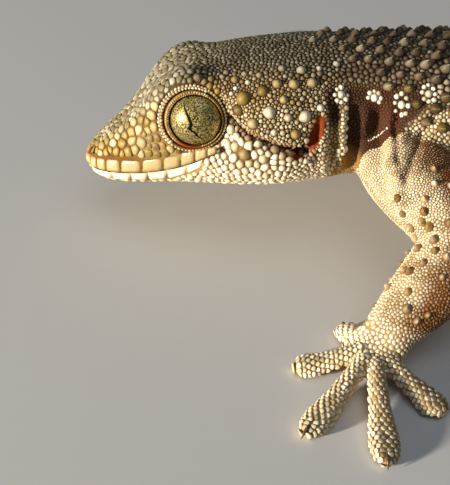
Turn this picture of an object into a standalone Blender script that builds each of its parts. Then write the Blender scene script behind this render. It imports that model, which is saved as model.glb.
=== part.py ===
"""Moorish gecko, adult, life size, as a still model that stands on its own feet.

The animal faces -X, its left side is -Y, and the floor is z = 0 under the middle of its belly.
The trunk, from snout to tail tip, is one lofted form, parted into nodes at planes. Each limb is
a second loft along its own bones, cut back where it meets the trunk, and each foot is a palm
with five digits fused to it. Tubercles and lip plates are raised out of the lofts' own faces.
"""
import math
import random

import bmesh
import bpy
import numpy as np
from mathutils import Vector

MM = 0.001
GAP = 0.3

# Driving sizes, in millimetres. Stations are distances from the snout tip along the animal.
CHIN_HEIGHT = 4.3
HEAD_ROLL = 12.0
HEAD_YAW = 2.0
ROLL_AXIS_HEIGHT = 5.5
NECK_START = 23.2
TORSO_START = 27.4
TAIL_START = 80.5
TAIL_MIDDLE = 106.0
TAIL_END_PART = 131.0
TAIL_TIP = 158.0
BELLY_STATION = 57.0
WIDEST_LEVEL = 0.4
SECTION_POWER = 2.3

# Station, half width, underside and back. Heights count from the chin line on the head.
HEAD_FORM = (
    (0.0, 0.6, 1.6, 2.7),
    (0.3, 1.3, 1.1, 3.2),
    (0.9, 2.15, 0.6, 4.0),
    (1.8, 2.9, 0.2, 4.95),
    (3.2, 3.65, 0.0, 6.1),
    (5.0, 4.4, -0.05, 7.85),
    (7.0, 5.2, 0.0, 10.25),
    (9.3, 6.0, 0.0, 11.9),
    (12.0, 6.9, 0.0, 12.55),
    (15.0, 7.8, 0.1, 12.95),
    (18.0, 8.3, 0.2, 13.2),
    (21.0, 7.9, 0.4, 13.4),
    (24.0, 7.0, 0.6, 13.45),
    (27.5, 6.7, 1.0, 13.4),
)
BODY_FORM = (
    (32.0, 7.5, 5.0, 17.6),
    (36.0, 8.6, 3.9, 17.1),
    (42.0, 10.0, 1.5, 16.2),
    (48.0, 10.9, -0.1, 15.4),
    (57.0, 11.4, -0.5, 14.6),
    (66.0, 10.5, -0.5, 13.5),
    (73.0, 8.6, -0.1, 12.2),
    (79.0, 6.7, 0.1, 10.7),
    (85.0, 5.7, -0.1, 9.2),
    (95.0, 5.0, -0.25, 7.6),
    (109.0, 3.9, -0.25, 5.9),
    (125.0, 2.8, -0.2, 4.3),
    (141.0, 1.75, -0.15, 2.8),
    (152.0, 1.0, -0.1, 1.7),
    (158.0, 0.45, -0.05, 0.9),
)
# Station and compass heading of the midline, in degrees from +X towards +Y.
HEADINGS = (
    (0.0, HEAD_YAW),
    (24.0, HEAD_YAW),
    (36.0, 0.0),
    (52.0, -5.0),
    (66.0, 3.0),
    (80.0, 14.0),
    (98.0, 20.0),
    (118.0, 2.0),
    (138.0, -26.0),
    (158.0, -44.0),
)
ROLLS = ((0.0, HEAD_ROLL), (21.0, HEAD_ROLL), (29.0, HEAD_ROLL / 2), (38.0, 0.0), (158.0, 0.0))

# Swellings and hollows: station, degrees from the top, height, half length, half spread in degrees.
SWELLINGS = {
    "brow": (8.6, 42.0, 1.4, 3.2, 14.0),
    "orbit": (10.0, 68.0, 0.75, 3.5, 24.0),
    "crown_hollow": (9.2, 0.0, -0.5, 4.0, 17.0),
    "canthus": (5.0, 40.0, 0.2, 2.4, 12.0),
    "snout_hollow": (4.6, 0.0, -0.25, 2.4, 15.0),
    "temple": (16.5, 62.0, 0.25, 3.2, 20.0),
    "jaw_muscle": (16.5, 112.0, 0.35, 3.4, 20.0),
    "neck_hollow": (26.5, 95.0, -0.45, 3.0, 26.0),
    "shoulder": (31.0, 80.0, 0.7, 3.6, 24.0),
    "hip": (73.5, 75.0, 0.6, 4.5, 26.0),
}

# The mouth: station and height of the line between the lips, above the chin line.
MOUTH_LINE = ((-2.0, 1.6), (0.5, 1.55), (3.5, 1.72), (6.0, 2.05), (8.0, 2.6), (10.0, 3.5), (12.2, 4.85))
MOUTH_CORNER = (12.2, 4.85)
JAW_REAR = (12.9, 4.0)
JAW_REAR_FOOT = 13.6
BELOW_THE_CHIN = -3.0
MOUTH_REACH = 14.0
LIP_STATIONS = (0.5, 11.5)
CROWN_START = 7.5
TEMPLE_START = 13.2
EAR_CLEAR = 2.2
LIP_EDGE = 0.33
UPPER_LIP_HEIGHT = 1.5
LOWER_LIP_HEIGHT = 1.25
# Where the head is low, the lip rows take at most these shares of what is above and below the mouth.
UPPER_LIP_SHARE = 0.55
LOWER_LIP_SHARE = 0.75
UPPER_EDGE_SHARE = 0.2
LOWER_EDGE_SHARE = 0.25

EYE_STATION = 10.55
EYE_HEIGHT = 7.5
EYE_OUT = 4.5
EYE_RADIUS = 2.68
EYE_TILT = (-0.1, 1.0, 0.05)
RIM_RADIUS = 2.78
RIM_THICKNESS = 0.42
RIM_OUT = 1.38
RIM_DEPTH = 1.3
# The dish round each eye, so that the swelling temple leaves it free: inner and outer radius, and
# how far out along the eye's axis each of them lies.
DISH_RADII = (3.0, 5.4)
DISH_OUT = (1.25, 3.2)
DISH_COLUMNS = 24
NOSTRIL = (0.62, 0.9, 3.05)
NOSTRIL_RADIUS = 0.54
EAR_STATION = 20.7
EAR_HEIGHT = 6.1
EAR_OUT = 8.15
EAR_SIZE = (0.75, 1.3, 1.9)

SNOUT_TIP_HEIGHT = 2.15
HEAD_RINGS = (0.2, 0.7, 1.5, 2.6, 3.8, 5.1, 6.5, 7.9, 9.3, 10.7, 12.1, 13.6, 15.2, 16.8, 18.4, 20.0, 21.6)
HEAD_COLUMNS = 32
THROAT_COLUMNS = 3
TORSO_COLUMNS = 32
RING_PITCH = 1.75
TAIL_COLUMNS = 16
TAIL_PITCH = 2.3
TAIL_TIP_COLUMNS = 12
TAIL_TIP_PITCH = 3.0

# Bones of a limb in the trunk's own directions: ahead of the root station, out from the
# midline, and height. The radii run along the bones: 0 root, 1 elbow or knee, 2 wrist or ankle.
ARM_RADII = (
    (0.0, 4.9, 3.6),
    (0.4, 4.7, 3.3),
    (0.8, 4.1, 2.9),
    (1.05, 3.3, 2.6),
    (1.35, 3.5, 2.7),
    (1.75, 2.9, 2.2),
    (2.0, 2.45, 1.75),
    (2.35, 2.6, 1.4),
    (2.75, 2.7, 1.2),
    (3.0, 1.7, 0.8),
)
LEG_RADII = (
    (0.0, 3.9, 3.3),
    (0.4, 3.8, 3.3),
    (0.8, 3.1, 2.8),
    (1.05, 2.9, 2.6),
    (1.35, 3.1, 2.7),
    (1.75, 2.4, 2.1),
    (2.0, 2.1, 1.65),
    (2.35, 2.7, 1.45),
    (2.75, 2.8, 1.2),
    (3.0, 1.7, 0.8),
)
HAND = {"reach": 2.2, "fan": (-116, -47, 1, 40, 84), "lengths": (4.9, 6.6, 9.7, 10.5, 7.6)}
FOOT = {"reach": 3.2, "fan": (-92, -42, -3, 34, 80), "lengths": (6.2, 8.8, 11.4, 12.4, 9.6)}
LIMBS = {
    "arm_left": {
        "root": 29.9, "side": -1, "radii": ARM_RADII, "foot": HAND, "turn": 12.0,
        "bones": ((0.2, 2.5, 10.0), (0.6, 7.1, 9.2), (-4.1, 15.7, 7.3), (3.5, 21.5, 2.4)),
    },
    "arm_right": {
        "root": 29.9, "side": 1, "radii": ARM_RADII, "foot": HAND, "turn": 4.0,
        "bones": ((0.0, 2.5, 9.8), (0.0, 7.0, 8.8), (-2.8, 16.4, 6.9), (6.5, 21.2, 2.4)),
    },
    "leg_left": {
        "root": 73.5, "side": -1, "radii": LEG_RADII, "foot": FOOT, "turn": 62.0,
        "bones": ((0.0, 2.0, 6.2), (0.0, 6.4, 6.4), (7.0, 16.4, 7.4), (-1.6, 24.2, 2.4)),
    },
    "leg_right": {
        "root": 73.5, "side": 1, "radii": LEG_RADII, "foot": FOOT, "turn": 48.0,
        "bones": ((0.0, 2.0, 6.2), (0.0, 6.4, 6.4), (3.4, 17.2, 7.2), (-7.6, 21.4, 2.4)),
    },
}
PALM_HEIGHT = 1.25
PALM_END = 1.6
ROOT_SPAN = 11
LIMB_COLUMNS = 12
LIMB_PARTS = {"arm": ("upper_arm", "forearm", "hand"), "leg": ("thigh", "shin", "foot")}
DIGIT_COLUMNS = 8
# A digit along its length: share of the length, half width, thickness and height of its middle.
DIGIT_FORM = (
    (0.10, 0.75, 0.95, 1.75),
    (0.34, 0.82, 0.9, 1.35),
    (0.52, 0.92, 0.85, 0.95),
    (0.68, 1.15, 0.75, 0.65),
    (0.84, 1.27, 0.65, 0.5),
    (0.96, 0.85, 0.5, 0.42),
    (1.00, 0.4, 0.3, 0.36),
)
CLAWED_DIGITS = (2, 3)
CLAW_LENGTH = 1.7
CLAW_RADIUS = 0.32
CLAW_START = 0.93
CLAW_ROOT_HEIGHT = 0.62
CLAW_TIP_HEIGHT = 0.3
CLAW_MIDDLE = 0.55
CLAW_ARCH = 0.12
TAIL_END_HEIGHT = 0.3

# Tubercles: inset from the face that carries them, height, and how far the peak leans back.
TUBERCLE_INSET = 0.34
TUBERCLE_HEIGHT = 0.85
TUBERCLE_LEAN = 0.35
TUBERCLE_VARIATION = 0.2
ROOT_MARGIN = 1.3
HEAD_TUBERCLE_INSET = 0.3
LIMB_TUBERCLE_INSET = 0.36
LIMB_TUBERCLE_LEAN = 0.3
SMALL_TUBERCLE_HEIGHT = 0.5
BACK_SPREAD = 76.0
TAIL_SPREAD = 78.0
PLATE_INSET = 0.12
PLATE_HEIGHT = 0.13

SKIN_COLOUR = (0.42, 0.31, 0.17, 1.0)
BELLY_COLOUR = (0.72, 0.62, 0.42, 1.0)
EYE_COLOUR = (0.36, 0.27, 0.1, 1.0)


def smooth_curve(rows, column):
    """A smooth function through one column of a form table, by its station."""
    table = np.array(rows, float)
    keys, values = table[:, 0], table[:, column]
    slopes = np.gradient(values, keys)

    def at(station):
        station = np.clip(np.asarray(station, float), keys[0], keys[-1])
        i = np.clip(np.searchsorted(keys, station, side="right") - 1, 0, len(keys) - 2)
        span = keys[i + 1] - keys[i]
        u = (station - keys[i]) / span
        start = values[i] * (1 + 2 * u) * (1 - u) ** 2 + slopes[i] * span * u * (1 - u) ** 2
        end = values[i + 1] * u * u * (3 - 2 * u) + slopes[i + 1] * span * u * u * (u - 1)
        return start + end

    return at


def trunk_form():
    """The head and body tables as one, with all heights above the floor."""
    head = tuple((s, w, low + CHIN_HEIGHT, top + CHIN_HEIGHT) for s, w, low, top in HEAD_FORM)
    return head + BODY_FORM


HALF_WIDTH = smooth_curve(trunk_form(), 1)
UNDERSIDE = smooth_curve(trunk_form(), 2)
BACK = smooth_curve(trunk_form(), 3)
HEADING = smooth_curve(HEADINGS, 1)
ROLL = smooth_curve(ROLLS, 1)
MOUTH = smooth_curve(MOUTH_LINE, 1)


def midline_table(step=0.25):
    """Stations and their places on the floor plan, with the belly station at the origin."""
    stations = np.arange(0.0, TAIL_TIP + step, step)
    heading = np.radians(HEADING(stations))
    x = np.concatenate([[0], np.cumsum(np.cos(heading[:-1]) * step)])
    y = np.concatenate([[0], np.cumsum(np.sin(heading[:-1]) * step)])
    return (
        stations,
        x - np.interp(BELLY_STATION, stations, x),
        y - np.interp(BELLY_STATION, stations, y),
    )


MIDLINE = midline_table()


def place(station, out, height):
    """From a station, a distance to the animal's right and a height to a point of the model."""
    heading = np.radians(HEADING(station))
    x = np.interp(station, MIDLINE[0], MIDLINE[1]) - np.sin(heading) * out
    y = np.interp(station, MIDLINE[0], MIDLINE[2]) + np.cos(heading) * out
    return np.stack(np.broadcast_arrays(x, y, height), axis=-1)


def rolled(station, out, height):
    """Turns a section about the head's long axis, left side up, by the roll at its station."""
    angle = np.radians(ROLL(station))
    axis = CHIN_HEIGHT + ROLL_AXIS_HEIGHT
    rise = height - axis
    turned_out = out * np.cos(angle) + rise * np.sin(angle)
    return turned_out, axis - out * np.sin(angle) + rise * np.cos(angle)


def head_point(station, out, height):
    """A point given in the head's own upright frame, with its height above the chin line."""
    station = np.asarray(station, float)
    turned_out, turned_height = rolled(station, out, height + CHIN_HEIGHT)
    return place(station, turned_out, turned_height)


def swelling(station, from_top):
    """How far the swellings and hollows move the skin outwards, in millimetres."""
    total = np.zeros(np.broadcast(station, from_top).shape)
    for centre, angle, height, length, spread in SWELLINGS.values():
        along = np.exp(-(((station - centre) / length) ** 2))
        around = np.exp(-(((np.abs(from_top) - angle) / spread) ** 2))
        total = total + height * along * around
    return total


def section(station, angle):
    """Out and height of the trunk's skin. The angle turns from the right side (0) over the back."""
    half_width, low, top = HALF_WIDTH(station), UNDERSIDE(station), BACK(station)
    level = low + (top - low) * WIDEST_LEVEL
    power = 2 / SECTION_POWER
    across, up = np.cos(angle), np.sin(angle)
    out = half_width * np.sign(across) * np.abs(across) ** power
    reach = np.where(up > 0, top - level, level - low)
    rise = reach * np.sign(up) * np.abs(up) ** power
    from_top = np.degrees(np.arctan2(np.cos(angle), np.sin(angle)))
    radius = np.hypot(out, rise)
    grown = 1 + swelling(station, from_top) / np.maximum(radius, 1.0)
    return out * grown, level + rise * grown


def trunk_point(station, angle, clearance=0.0):
    """A point on the trunk, or off it by a clearance."""
    out, height = section(station, angle)
    if clearance:
        level = UNDERSIDE(station) + (BACK(station) - UNDERSIDE(station)) * WIDEST_LEVEL
        radius = np.maximum(np.hypot(out, height - level), 0.1)
        out, height = out * (1 + clearance / radius), height + (height - level) * clearance / radius
    out, height = rolled(station, out, height)
    return place(station, out, np.maximum(height, 0.0 if clearance == 0 else -clearance))


def even_angles(columns):
    """Angles round a section, starting under the belly and turning up the right side."""
    return np.radians(-90 + 360 * np.arange(columns) / columns)


def angle_at_height(station, wanted):
    """The section angle on the right side where the skin reaches a height above the chin line."""
    tries = np.radians(np.linspace(-85, 80, 331))
    _, height = section(np.full(tries.shape, station), tries)
    return tries[np.argmin(np.abs(height - wanted - CHIN_HEIGHT))]


def head_angles(station):
    """Columns for the head: on each side four of them are the edges of the two lip rows."""
    mouth = float(MOUTH(station))
    low = float(UNDERSIDE(station)) - CHIN_HEIGHT
    top = float(BACK(station)) - CHIN_HEIGHT
    edges = (
        mouth - min(LOWER_LIP_HEIGHT, LOWER_LIP_SHARE * (mouth - low)),
        mouth - min(LIP_EDGE, LOWER_EDGE_SHARE * (mouth - low)),
        mouth + min(LIP_EDGE, UPPER_EDGE_SHARE * (top - mouth)),
        mouth + min(UPPER_LIP_HEIGHT, UPPER_LIP_SHARE * (top - mouth)),
    )
    lips = [angle_at_height(station, edge) for edge in edges]
    above_count = HEAD_COLUMNS // 2 - THROAT_COLUMNS - 3
    below = np.linspace(-math.pi / 2, lips[0], THROAT_COLUMNS + 1)
    above = np.linspace(lips[3], math.pi / 2, above_count + 1)
    right = np.concatenate([below, lips[1:3], above])
    return np.concatenate([right, math.pi - right[-2:0:-1]])


def new_object(name, bm, colour, roughness=0.6):
    """Finishes a mesh as a named object with its own material."""
    mesh = bpy.data.meshes.new(name)
    bmesh.ops.recalc_face_normals(bm, faces=bm.faces)
    bm.to_mesh(mesh)
    bm.free()
    made = bpy.data.objects.new(name, mesh)
    bpy.context.scene.collection.objects.link(made)
    material = bpy.data.materials.new(name)
    material.use_nodes = True
    shader = material.node_tree.nodes["Principled BSDF"]
    shader.inputs["Base Color"].default_value = colour
    shader.inputs["Roughness"].default_value = roughness
    shader.inputs["Metallic"].default_value = 0.0
    mesh.materials.append(material)
    return made


def loft(rings, tip_first=None, tip_last=None):
    """A closed bmesh through rings of points in millimetres, and its side faces by ring and column."""
    bm = bmesh.new()
    grid = [[bm.verts.new(point * MM) for point in ring] for ring in rings]
    columns = len(grid[0])
    faces = [
        [
            bm.faces.new((lower[j], lower[(j + 1) % columns], upper[(j + 1) % columns], upper[j]))
            for j in range(columns)
        ]
        for lower, upper in zip(grid, grid[1:])
    ]
    for ring, tip in ((grid[0], tip_first), (grid[-1], tip_last)):
        middle = np.mean([v.co for v in ring], axis=0) if tip is None else tip * MM
        centre = bm.verts.new(middle)
        for j in range(columns):
            bm.faces.new((ring[j], ring[(j + 1) % columns], centre))
    bmesh.ops.recalc_face_normals(bm, faces=bm.faces)
    return bm, faces


def raise_tubercles(bm, faces, back, inset=TUBERCLE_INSET, height=TUBERCLE_HEIGHT):
    """Raises a keeled tubercle on each of the faces, its peak leaning along the back direction."""
    if not faces:
        return
    bmesh.ops.inset_individual(bm, faces=faces, thickness=inset * MM, use_even_offset=True)
    for face in faces:
        tall = height * (1 + TUBERCLE_VARIATION * random.uniform(-1, 1))
        normal = face.normal.copy()
        poked = bmesh.ops.poke(bm, faces=[face], offset=0.0, center_mode="MEAN")
        poked["verts"][0].co += normal * tall * MM + back * TUBERCLE_LEAN * MM


def raise_plates(bm, faces):
    """Raises a flat lip plate on each of the faces."""
    bmesh.ops.inset_individual(
        bm, faces=faces, thickness=PLATE_INSET * MM, depth=PLATE_HEIGHT * MM, use_even_offset=True
    )


def back_direction(station):
    """The unit vector towards the tail at a station, as mathutils adds it to a vertex."""
    heading = math.radians(float(HEADING(station)))
    return Vector((math.cos(heading), math.sin(heading), 0.0))


def stations_between(first, last, pitch):
    """Evenly spread stations, both ends kept, about one pitch apart."""
    return np.linspace(first, last, max(2, round((last - first) / pitch) + 1))


def limb_bones(limb):
    """The joints of a limb in the model's frame, root to wrist, then the far end of the palm."""
    side, root = limb["side"], limb["root"]
    heading = math.radians(float(HEADING(root)))
    forward = np.array((-math.cos(heading), -math.sin(heading), 0.0))
    joints = [place(root, side * out, z) + forward * ahead for ahead, out, z in limb["bones"]]
    reach = joints[-1] - joints[-2]
    reach[2] = 0.0
    reach /= np.linalg.norm(reach)
    turn = math.radians(limb["turn"]) * side * -1
    turned = np.array((
        reach[0] * math.cos(turn) - reach[1] * math.sin(turn),
        reach[0] * math.sin(turn) + reach[1] * math.cos(turn),
        0.0,
    ))
    palm = joints[-1] + turned * limb["foot"]["reach"] + np.array((0, 0, PALM_HEIGHT - joints[-1][2]))
    end = palm + turned * PALM_END
    return joints, palm, end, turned


def limb_roots():
    """Points along the first part of each limb with the limb's radius there, in millimetres."""
    roots = []
    for limb in LIMBS.values():
        joints = limb_bones(limb)[0]
        across = smooth_curve(limb["radii"], 1)
        for share in np.linspace(0, 1, 12):
            middle = joints[1] + (joints[2] - joints[1]) * share
            roots.append((middle, float(across(share))))
    return roots


ROOTS = limb_roots()


def is_bare(face):
    """Whether a face of the trunk is clear of every limb root, with room for a tubercle."""
    middle = np.array(face.calc_center_median()) / MM
    return all(np.linalg.norm(middle - root) > radius + ROOT_MARGIN for root, radius in ROOTS)


def trunk_part(name, first, last, pitch, columns, spread, colour=SKIN_COLOUR, tip=None):
    """One length of the trunk, with staggered rows of tubercles down its back."""
    stations = stations_between(first, last, pitch)
    angles = even_angles(columns)
    rings = [trunk_point(station, angles) for station in stations]
    bm, faces = loft(rings, tip_last=tip)
    from_top = np.degrees(np.abs(angles + math.pi / columns - math.pi / 2))
    for i in range(len(stations) - 1):
        row = [
            faces[i][j]
            for j in range(columns)
            if from_top[j] < spread and (i + j) % 2 == 0 and is_bare(faces[i][j])
        ]
        wide = min(1.0, 2.2 * float(HALF_WIDTH(stations[i])) * math.pi / columns / 2.0)
        raise_tubercles(
            bm, row, back_direction(stations[i]), TUBERCLE_INSET * wide, TUBERCLE_HEIGHT * wide
        )
    return new_object(name, bm, colour)


def apply_boolean(target, operation, others, solver="EXACT"):
    """Joins or cuts the target with other objects, which are then removed."""
    group = bpy.data.collections.new("pieces")
    bpy.context.scene.collection.children.link(group)
    for other in others:
        bpy.context.scene.collection.objects.unlink(other)
        group.objects.link(other)
    modifier = target.modifiers.new(operation.lower(), "BOOLEAN")
    modifier.operation = operation
    modifier.solver = solver
    modifier.operand_type = "COLLECTION"
    modifier.collection = group
    graph = bpy.context.evaluated_depsgraph_get()
    result = bpy.data.meshes.new_from_object(target.evaluated_get(graph))
    target.modifiers.clear()
    old = target.data
    target.data = result
    bpy.data.meshes.remove(old)
    for other in others:
        bpy.data.objects.remove(other)
    bpy.data.collections.remove(group)
    keep_largest(target)


def keep_largest(target):
    """Keeps only the largest closed surface of a mesh."""
    bm = bmesh.new()
    bm.from_mesh(target.data)
    bmesh.ops.remove_doubles(bm, verts=bm.verts, dist=0.002 * MM)
    waiting, pieces = set(bm.verts), []
    while waiting:
        reached = [waiting.pop()]
        for vertex in reached:
            for edge in vertex.link_edges:
                neighbour = edge.other_vert(vertex)
                if neighbour in waiting:
                    waiting.discard(neighbour)
                    reached.append(neighbour)
        pieces.append(reached)
    pieces.sort(key=len)
    bmesh.ops.delete(bm, geom=[v for piece in pieces[:-1] for v in piece], context="VERTS")
    bm.to_mesh(target.data)
    bm.free()


def ball(name, centre, radii, colour, columns=14, rings=9):
    """A ball or egg with its poles along Z, as a closed object."""
    bm = bmesh.new()
    bmesh.ops.create_uvsphere(bm, u_segments=columns, v_segments=rings, radius=1.0)
    for vertex in bm.verts:
        point = np.array(vertex.co) * np.array(radii) + np.array(centre)
        vertex.co = point * MM
    return new_object(name, bm, colour)


def eye_axis(side):
    """The unit direction that an eye looks in, in the head's own frame: station, out, height."""
    ahead, out, up = EYE_TILT
    axis = np.array((ahead, out * side, up))
    return axis / np.linalg.norm(axis)


def eye_spokes(side):
    """The eye's axis and two directions square to it, in the head's own frame."""
    axis = eye_axis(side)
    first = np.cross(axis, (0.0, 0.0, 1.0))
    first /= np.linalg.norm(first)
    return axis, first, np.cross(axis, first)


def eye_dish(side):
    """The cutter for the dish round an eye: a cone that opens outwards."""
    axis, first, second = eye_spokes(side)
    middle = np.array((EYE_STATION, EYE_OUT * side, EYE_HEIGHT))
    rings = []
    for radius, out in zip(DISH_RADII, DISH_OUT):
        angles = 2 * math.pi * np.arange(DISH_COLUMNS) / DISH_COLUMNS
        spokes = np.outer(np.cos(angles), first) + np.outer(np.sin(angles), second)
        local = middle + axis * out + radius * spokes
        rings.append(head_point(local[:, 0], local[:, 1], local[:, 2]))
    bm, _ = loft(rings)
    return new_object("dish", bm, SKIN_COLOUR)


def eye_rim(side):
    """The round lid rim, a ring that stands a little proud of the cheek."""
    axis, first, second = eye_spokes(side)
    centre = np.array((EYE_STATION, EYE_OUT * side, EYE_HEIGHT)) + axis * RIM_OUT
    turns, around = 22, 6
    bm = bmesh.new()
    grid = []
    for turn in range(turns):
        angle = 2 * math.pi * turn / turns
        spoke = first * math.cos(angle) + second * math.sin(angle)
        ring = []
        for step in range(around):
            tube = 2 * math.pi * step / around
            radius = RIM_RADIUS + RIM_THICKNESS * math.cos(tube)
            local = centre + spoke * radius + axis * RIM_THICKNESS * RIM_DEPTH * math.sin(tube)
            ring.append(bm.verts.new(head_point(*local) * MM))
        grid.append(ring)
    for turn in range(turns):
        ring, after = grid[turn], grid[(turn + 1) % turns]
        for step in range(around):
            following = (step + 1) % around
            bm.faces.new((ring[step], ring[following], after[following], after[step]))
    return new_object("rim", bm, SKIN_COLOUR)


def mouth_prism(name, clearance):
    """What lies under the mouth line and ahead of the jaw's rear edge, grown by a clearance."""
    ahead = MOUTH_LINE[0][0]
    line = [(s, float(MOUTH(s)) + clearance) for s in np.linspace(ahead, MOUTH_CORNER[0], 12)]
    rear = [
        (MOUTH_CORNER[0] + clearance, MOUTH_CORNER[1] + clearance),
        (JAW_REAR[0] + clearance, JAW_REAR[1]),
        (JAW_REAR_FOOT + clearance, BELOW_THE_CHIN),
    ]
    outline = line[:-1] + rear + [(ahead, BELOW_THE_CHIN)]
    bm = bmesh.new()
    rows = [
        [bm.verts.new(head_point_straight(s, out, z) * MM) for s, z in outline]
        for out in (-MOUTH_REACH, MOUTH_REACH)
    ]
    count = len(outline)
    for j in range(count):
        following = (j + 1) % count
        bm.faces.new((rows[0][j], rows[0][following], rows[1][following], rows[1][j]))
    bm.faces.new(rows[0])
    bm.faces.new(rows[1])
    return new_object(name, bm, BELLY_COLOUR)


def head_point_straight(station, out, height):
    """As head_point, but it runs on in a straight line ahead of the snout."""
    ahead = min(station, 0.0)
    heading = math.radians(HEAD_YAW)
    shift = np.array((math.cos(heading), math.sin(heading), 0.0)) * ahead
    return head_point(max(station, 0.0), out, height) + shift


def make_head():
    """Head, lower jaw and eyes: the loft, its plates and tubercles, then sockets and mouth."""
    stations = np.array(HEAD_RINGS + (NECK_START - GAP / 2,))
    rings = [trunk_point(station, head_angles(station)) for station in stations]
    tip = head_point(0.0, 0.0, SNOUT_TIP_HEIGHT)
    bm, faces = loft(rings, tip_first=tip)
    last = HEAD_COLUMNS - 1
    lower_lip, upper_lip = THROAT_COLUMNS, THROAT_COLUMNS + 2
    lips, bumps = [], []
    for row, station in zip(faces, (stations[:-1] + stations[1:]) / 2):
        if LIP_STATIONS[0] < station < LIP_STATIONS[1]:
            lips += [row[j] for j in (lower_lip, upper_lip, last - lower_lip, last - upper_lip)]
    for i, (row, station) in enumerate(zip(faces, (stations[:-1] + stations[1:]) / 2)):
        lowest = upper_lip + (1 if station > TEMPLE_START else 8)
        for j in range(lowest, HEAD_COLUMNS - lowest):
            at_ear = abs(station - EAR_STATION) < EAR_CLEAR and min(j, last - j) < lower_lip + 5
            if station > CROWN_START and (i + j) % 2 == 0 and not at_ear:
                bumps.append(row[j])
    raise_plates(bm, lips)
    raise_tubercles(bm, bumps, back_direction(10.0), HEAD_TUBERCLE_INSET, SMALL_TUBERCLE_HEIGHT)
    head = new_object("head", bm, SKIN_COLOUR)
    apply_boolean(head, "DIFFERENCE", [eye_dish(-1), eye_dish(1)])
    apply_boolean(head, "UNION", [eye_rim(-1), eye_rim(1)])
    cutters = []
    for side in (-1, 1):
        centre = head_point(EYE_STATION, EYE_OUT * side, EYE_HEIGHT)
        cutters.append(ball("socket", centre, [EYE_RADIUS + GAP] * 3, SKIN_COLOUR, 16, 11))
        nostril = head_point(NOSTRIL[0], NOSTRIL[1] * side, NOSTRIL[2])
        cutters.append(ball("nostril_pit", nostril, [NOSTRIL_RADIUS] * 3, SKIN_COLOUR, 8, 5))
        ear = head_point(EAR_STATION, EAR_OUT * side, EAR_HEIGHT)
        cutters.append(ball("ear_pit", ear, EAR_SIZE, SKIN_COLOUR, 10, 7))
    apply_boolean(head, "DIFFERENCE", cutters)
    jaw = bpy.data.objects.new("lower_jaw", head.data.copy())
    bpy.context.scene.collection.objects.link(jaw)
    apply_boolean(jaw, "INTERSECT", [mouth_prism("mouth", 0.0)])
    apply_boolean(head, "DIFFERENCE", [mouth_prism("mouth_above", GAP)])
    for side, word in ((-1, "left"), (1, "right")):
        centre = head_point(EYE_STATION, EYE_OUT * side, EYE_HEIGHT)
        ball("eye_" + word, centre, [EYE_RADIUS] * 3, EYE_COLOUR, 16, 11)


def rounded_path(points, rounds=3):
    """The polyline through the points with its corners cut smooth, evenly sampled by length."""
    points = np.array(points, float)
    for _ in range(rounds):
        before, after = points[:-1], points[1:]
        cut = np.stack([before * 0.75 + after * 0.25, before * 0.25 + after * 0.75], axis=1)
        points = np.concatenate([points[:1], cut.reshape(-1, 3), points[-1:]])
    lengths = np.concatenate([[0], np.cumsum(np.linalg.norm(np.diff(points, axis=0), axis=1))])
    samples = np.linspace(0, lengths[-1], 240)
    return np.stack([np.interp(samples, lengths, points[:, k]) for k in range(3)], axis=1)


def limb_ring(centre, tangent, across, thick, columns=LIMB_COLUMNS):
    """An oval ring square to a limb."""
    side = np.cross(tangent, (0.0, 0.0, 1.0))
    side /= np.linalg.norm(side)
    up = np.cross(side, tangent)
    angles = 2 * math.pi * (np.arange(columns) + 0.5) / columns
    ring = centre + np.outer(np.cos(angles) * across, side) + np.outer(np.sin(angles) * thick, up)
    ring[:, 2] = np.maximum(ring[:, 2], 0.0)
    return ring


def limb_lofts(limb):
    """Rings of the upper bone, the lower bone and the palm, parted by flat gaps at the joints."""
    joints, palm, end, _ = limb_bones(limb)
    path = rounded_path([*joints, palm, end])
    tangents = np.gradient(path, axis=0)
    tangents /= np.linalg.norm(tangents, axis=1)[:, None]
    marks = [int(np.argmin(np.linalg.norm(path - point, axis=1))) for point in (joints[2], joints[3])]
    marks = [0, marks[0], marks[1], len(path) - 1]
    root_mark = int(np.argmin(np.linalg.norm(path - joints[1], axis=1)))
    across, thick = smooth_curve(limb["radii"], 1), smooth_curve(limb["radii"], 2)
    bone_place = np.interp(np.arange(len(path)), [0, root_mark] + marks[1:], [-0.4, 0, 1, 2, 3])
    parts = []
    for part, (first, last, count) in enumerate(zip(marks, marks[1:], (6, 7, 5))):
        rings = []
        picks = np.linspace(first, last, count).round().astype(int)
        for n, pick in enumerate(picks):
            centre = path[pick].copy()
            if n == 0 and part > 0:
                centre += tangents[pick] * GAP / 2
            if n == count - 1 and part < 2:
                centre -= tangents[pick] * GAP / 2
            place_now = bone_place[pick]
            radii = float(across(place_now)), float(thick(place_now))
            rings.append(limb_ring(centre, tangents[pick], *radii))
        parts.append(rings)
    return parts


def limb_segment(name, rings, bumps=True):
    """One bone of a limb, with tubercles scattered on its upper side."""
    bm, faces = loft(rings)
    if bumps:
        chosen = [
            faces[i][j]
            for i in range(1, len(faces) - 1)
            for j in range(1, 5)
            if (i + j) % 2 == 0
        ]
        lean = back_direction(BELLY_STATION) * LIMB_TUBERCLE_LEAN
        raise_tubercles(bm, chosen, lean, LIMB_TUBERCLE_INSET, SMALL_TUBERCLE_HEIGHT)
    return new_object(name, bm, SKIN_COLOUR)


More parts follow.
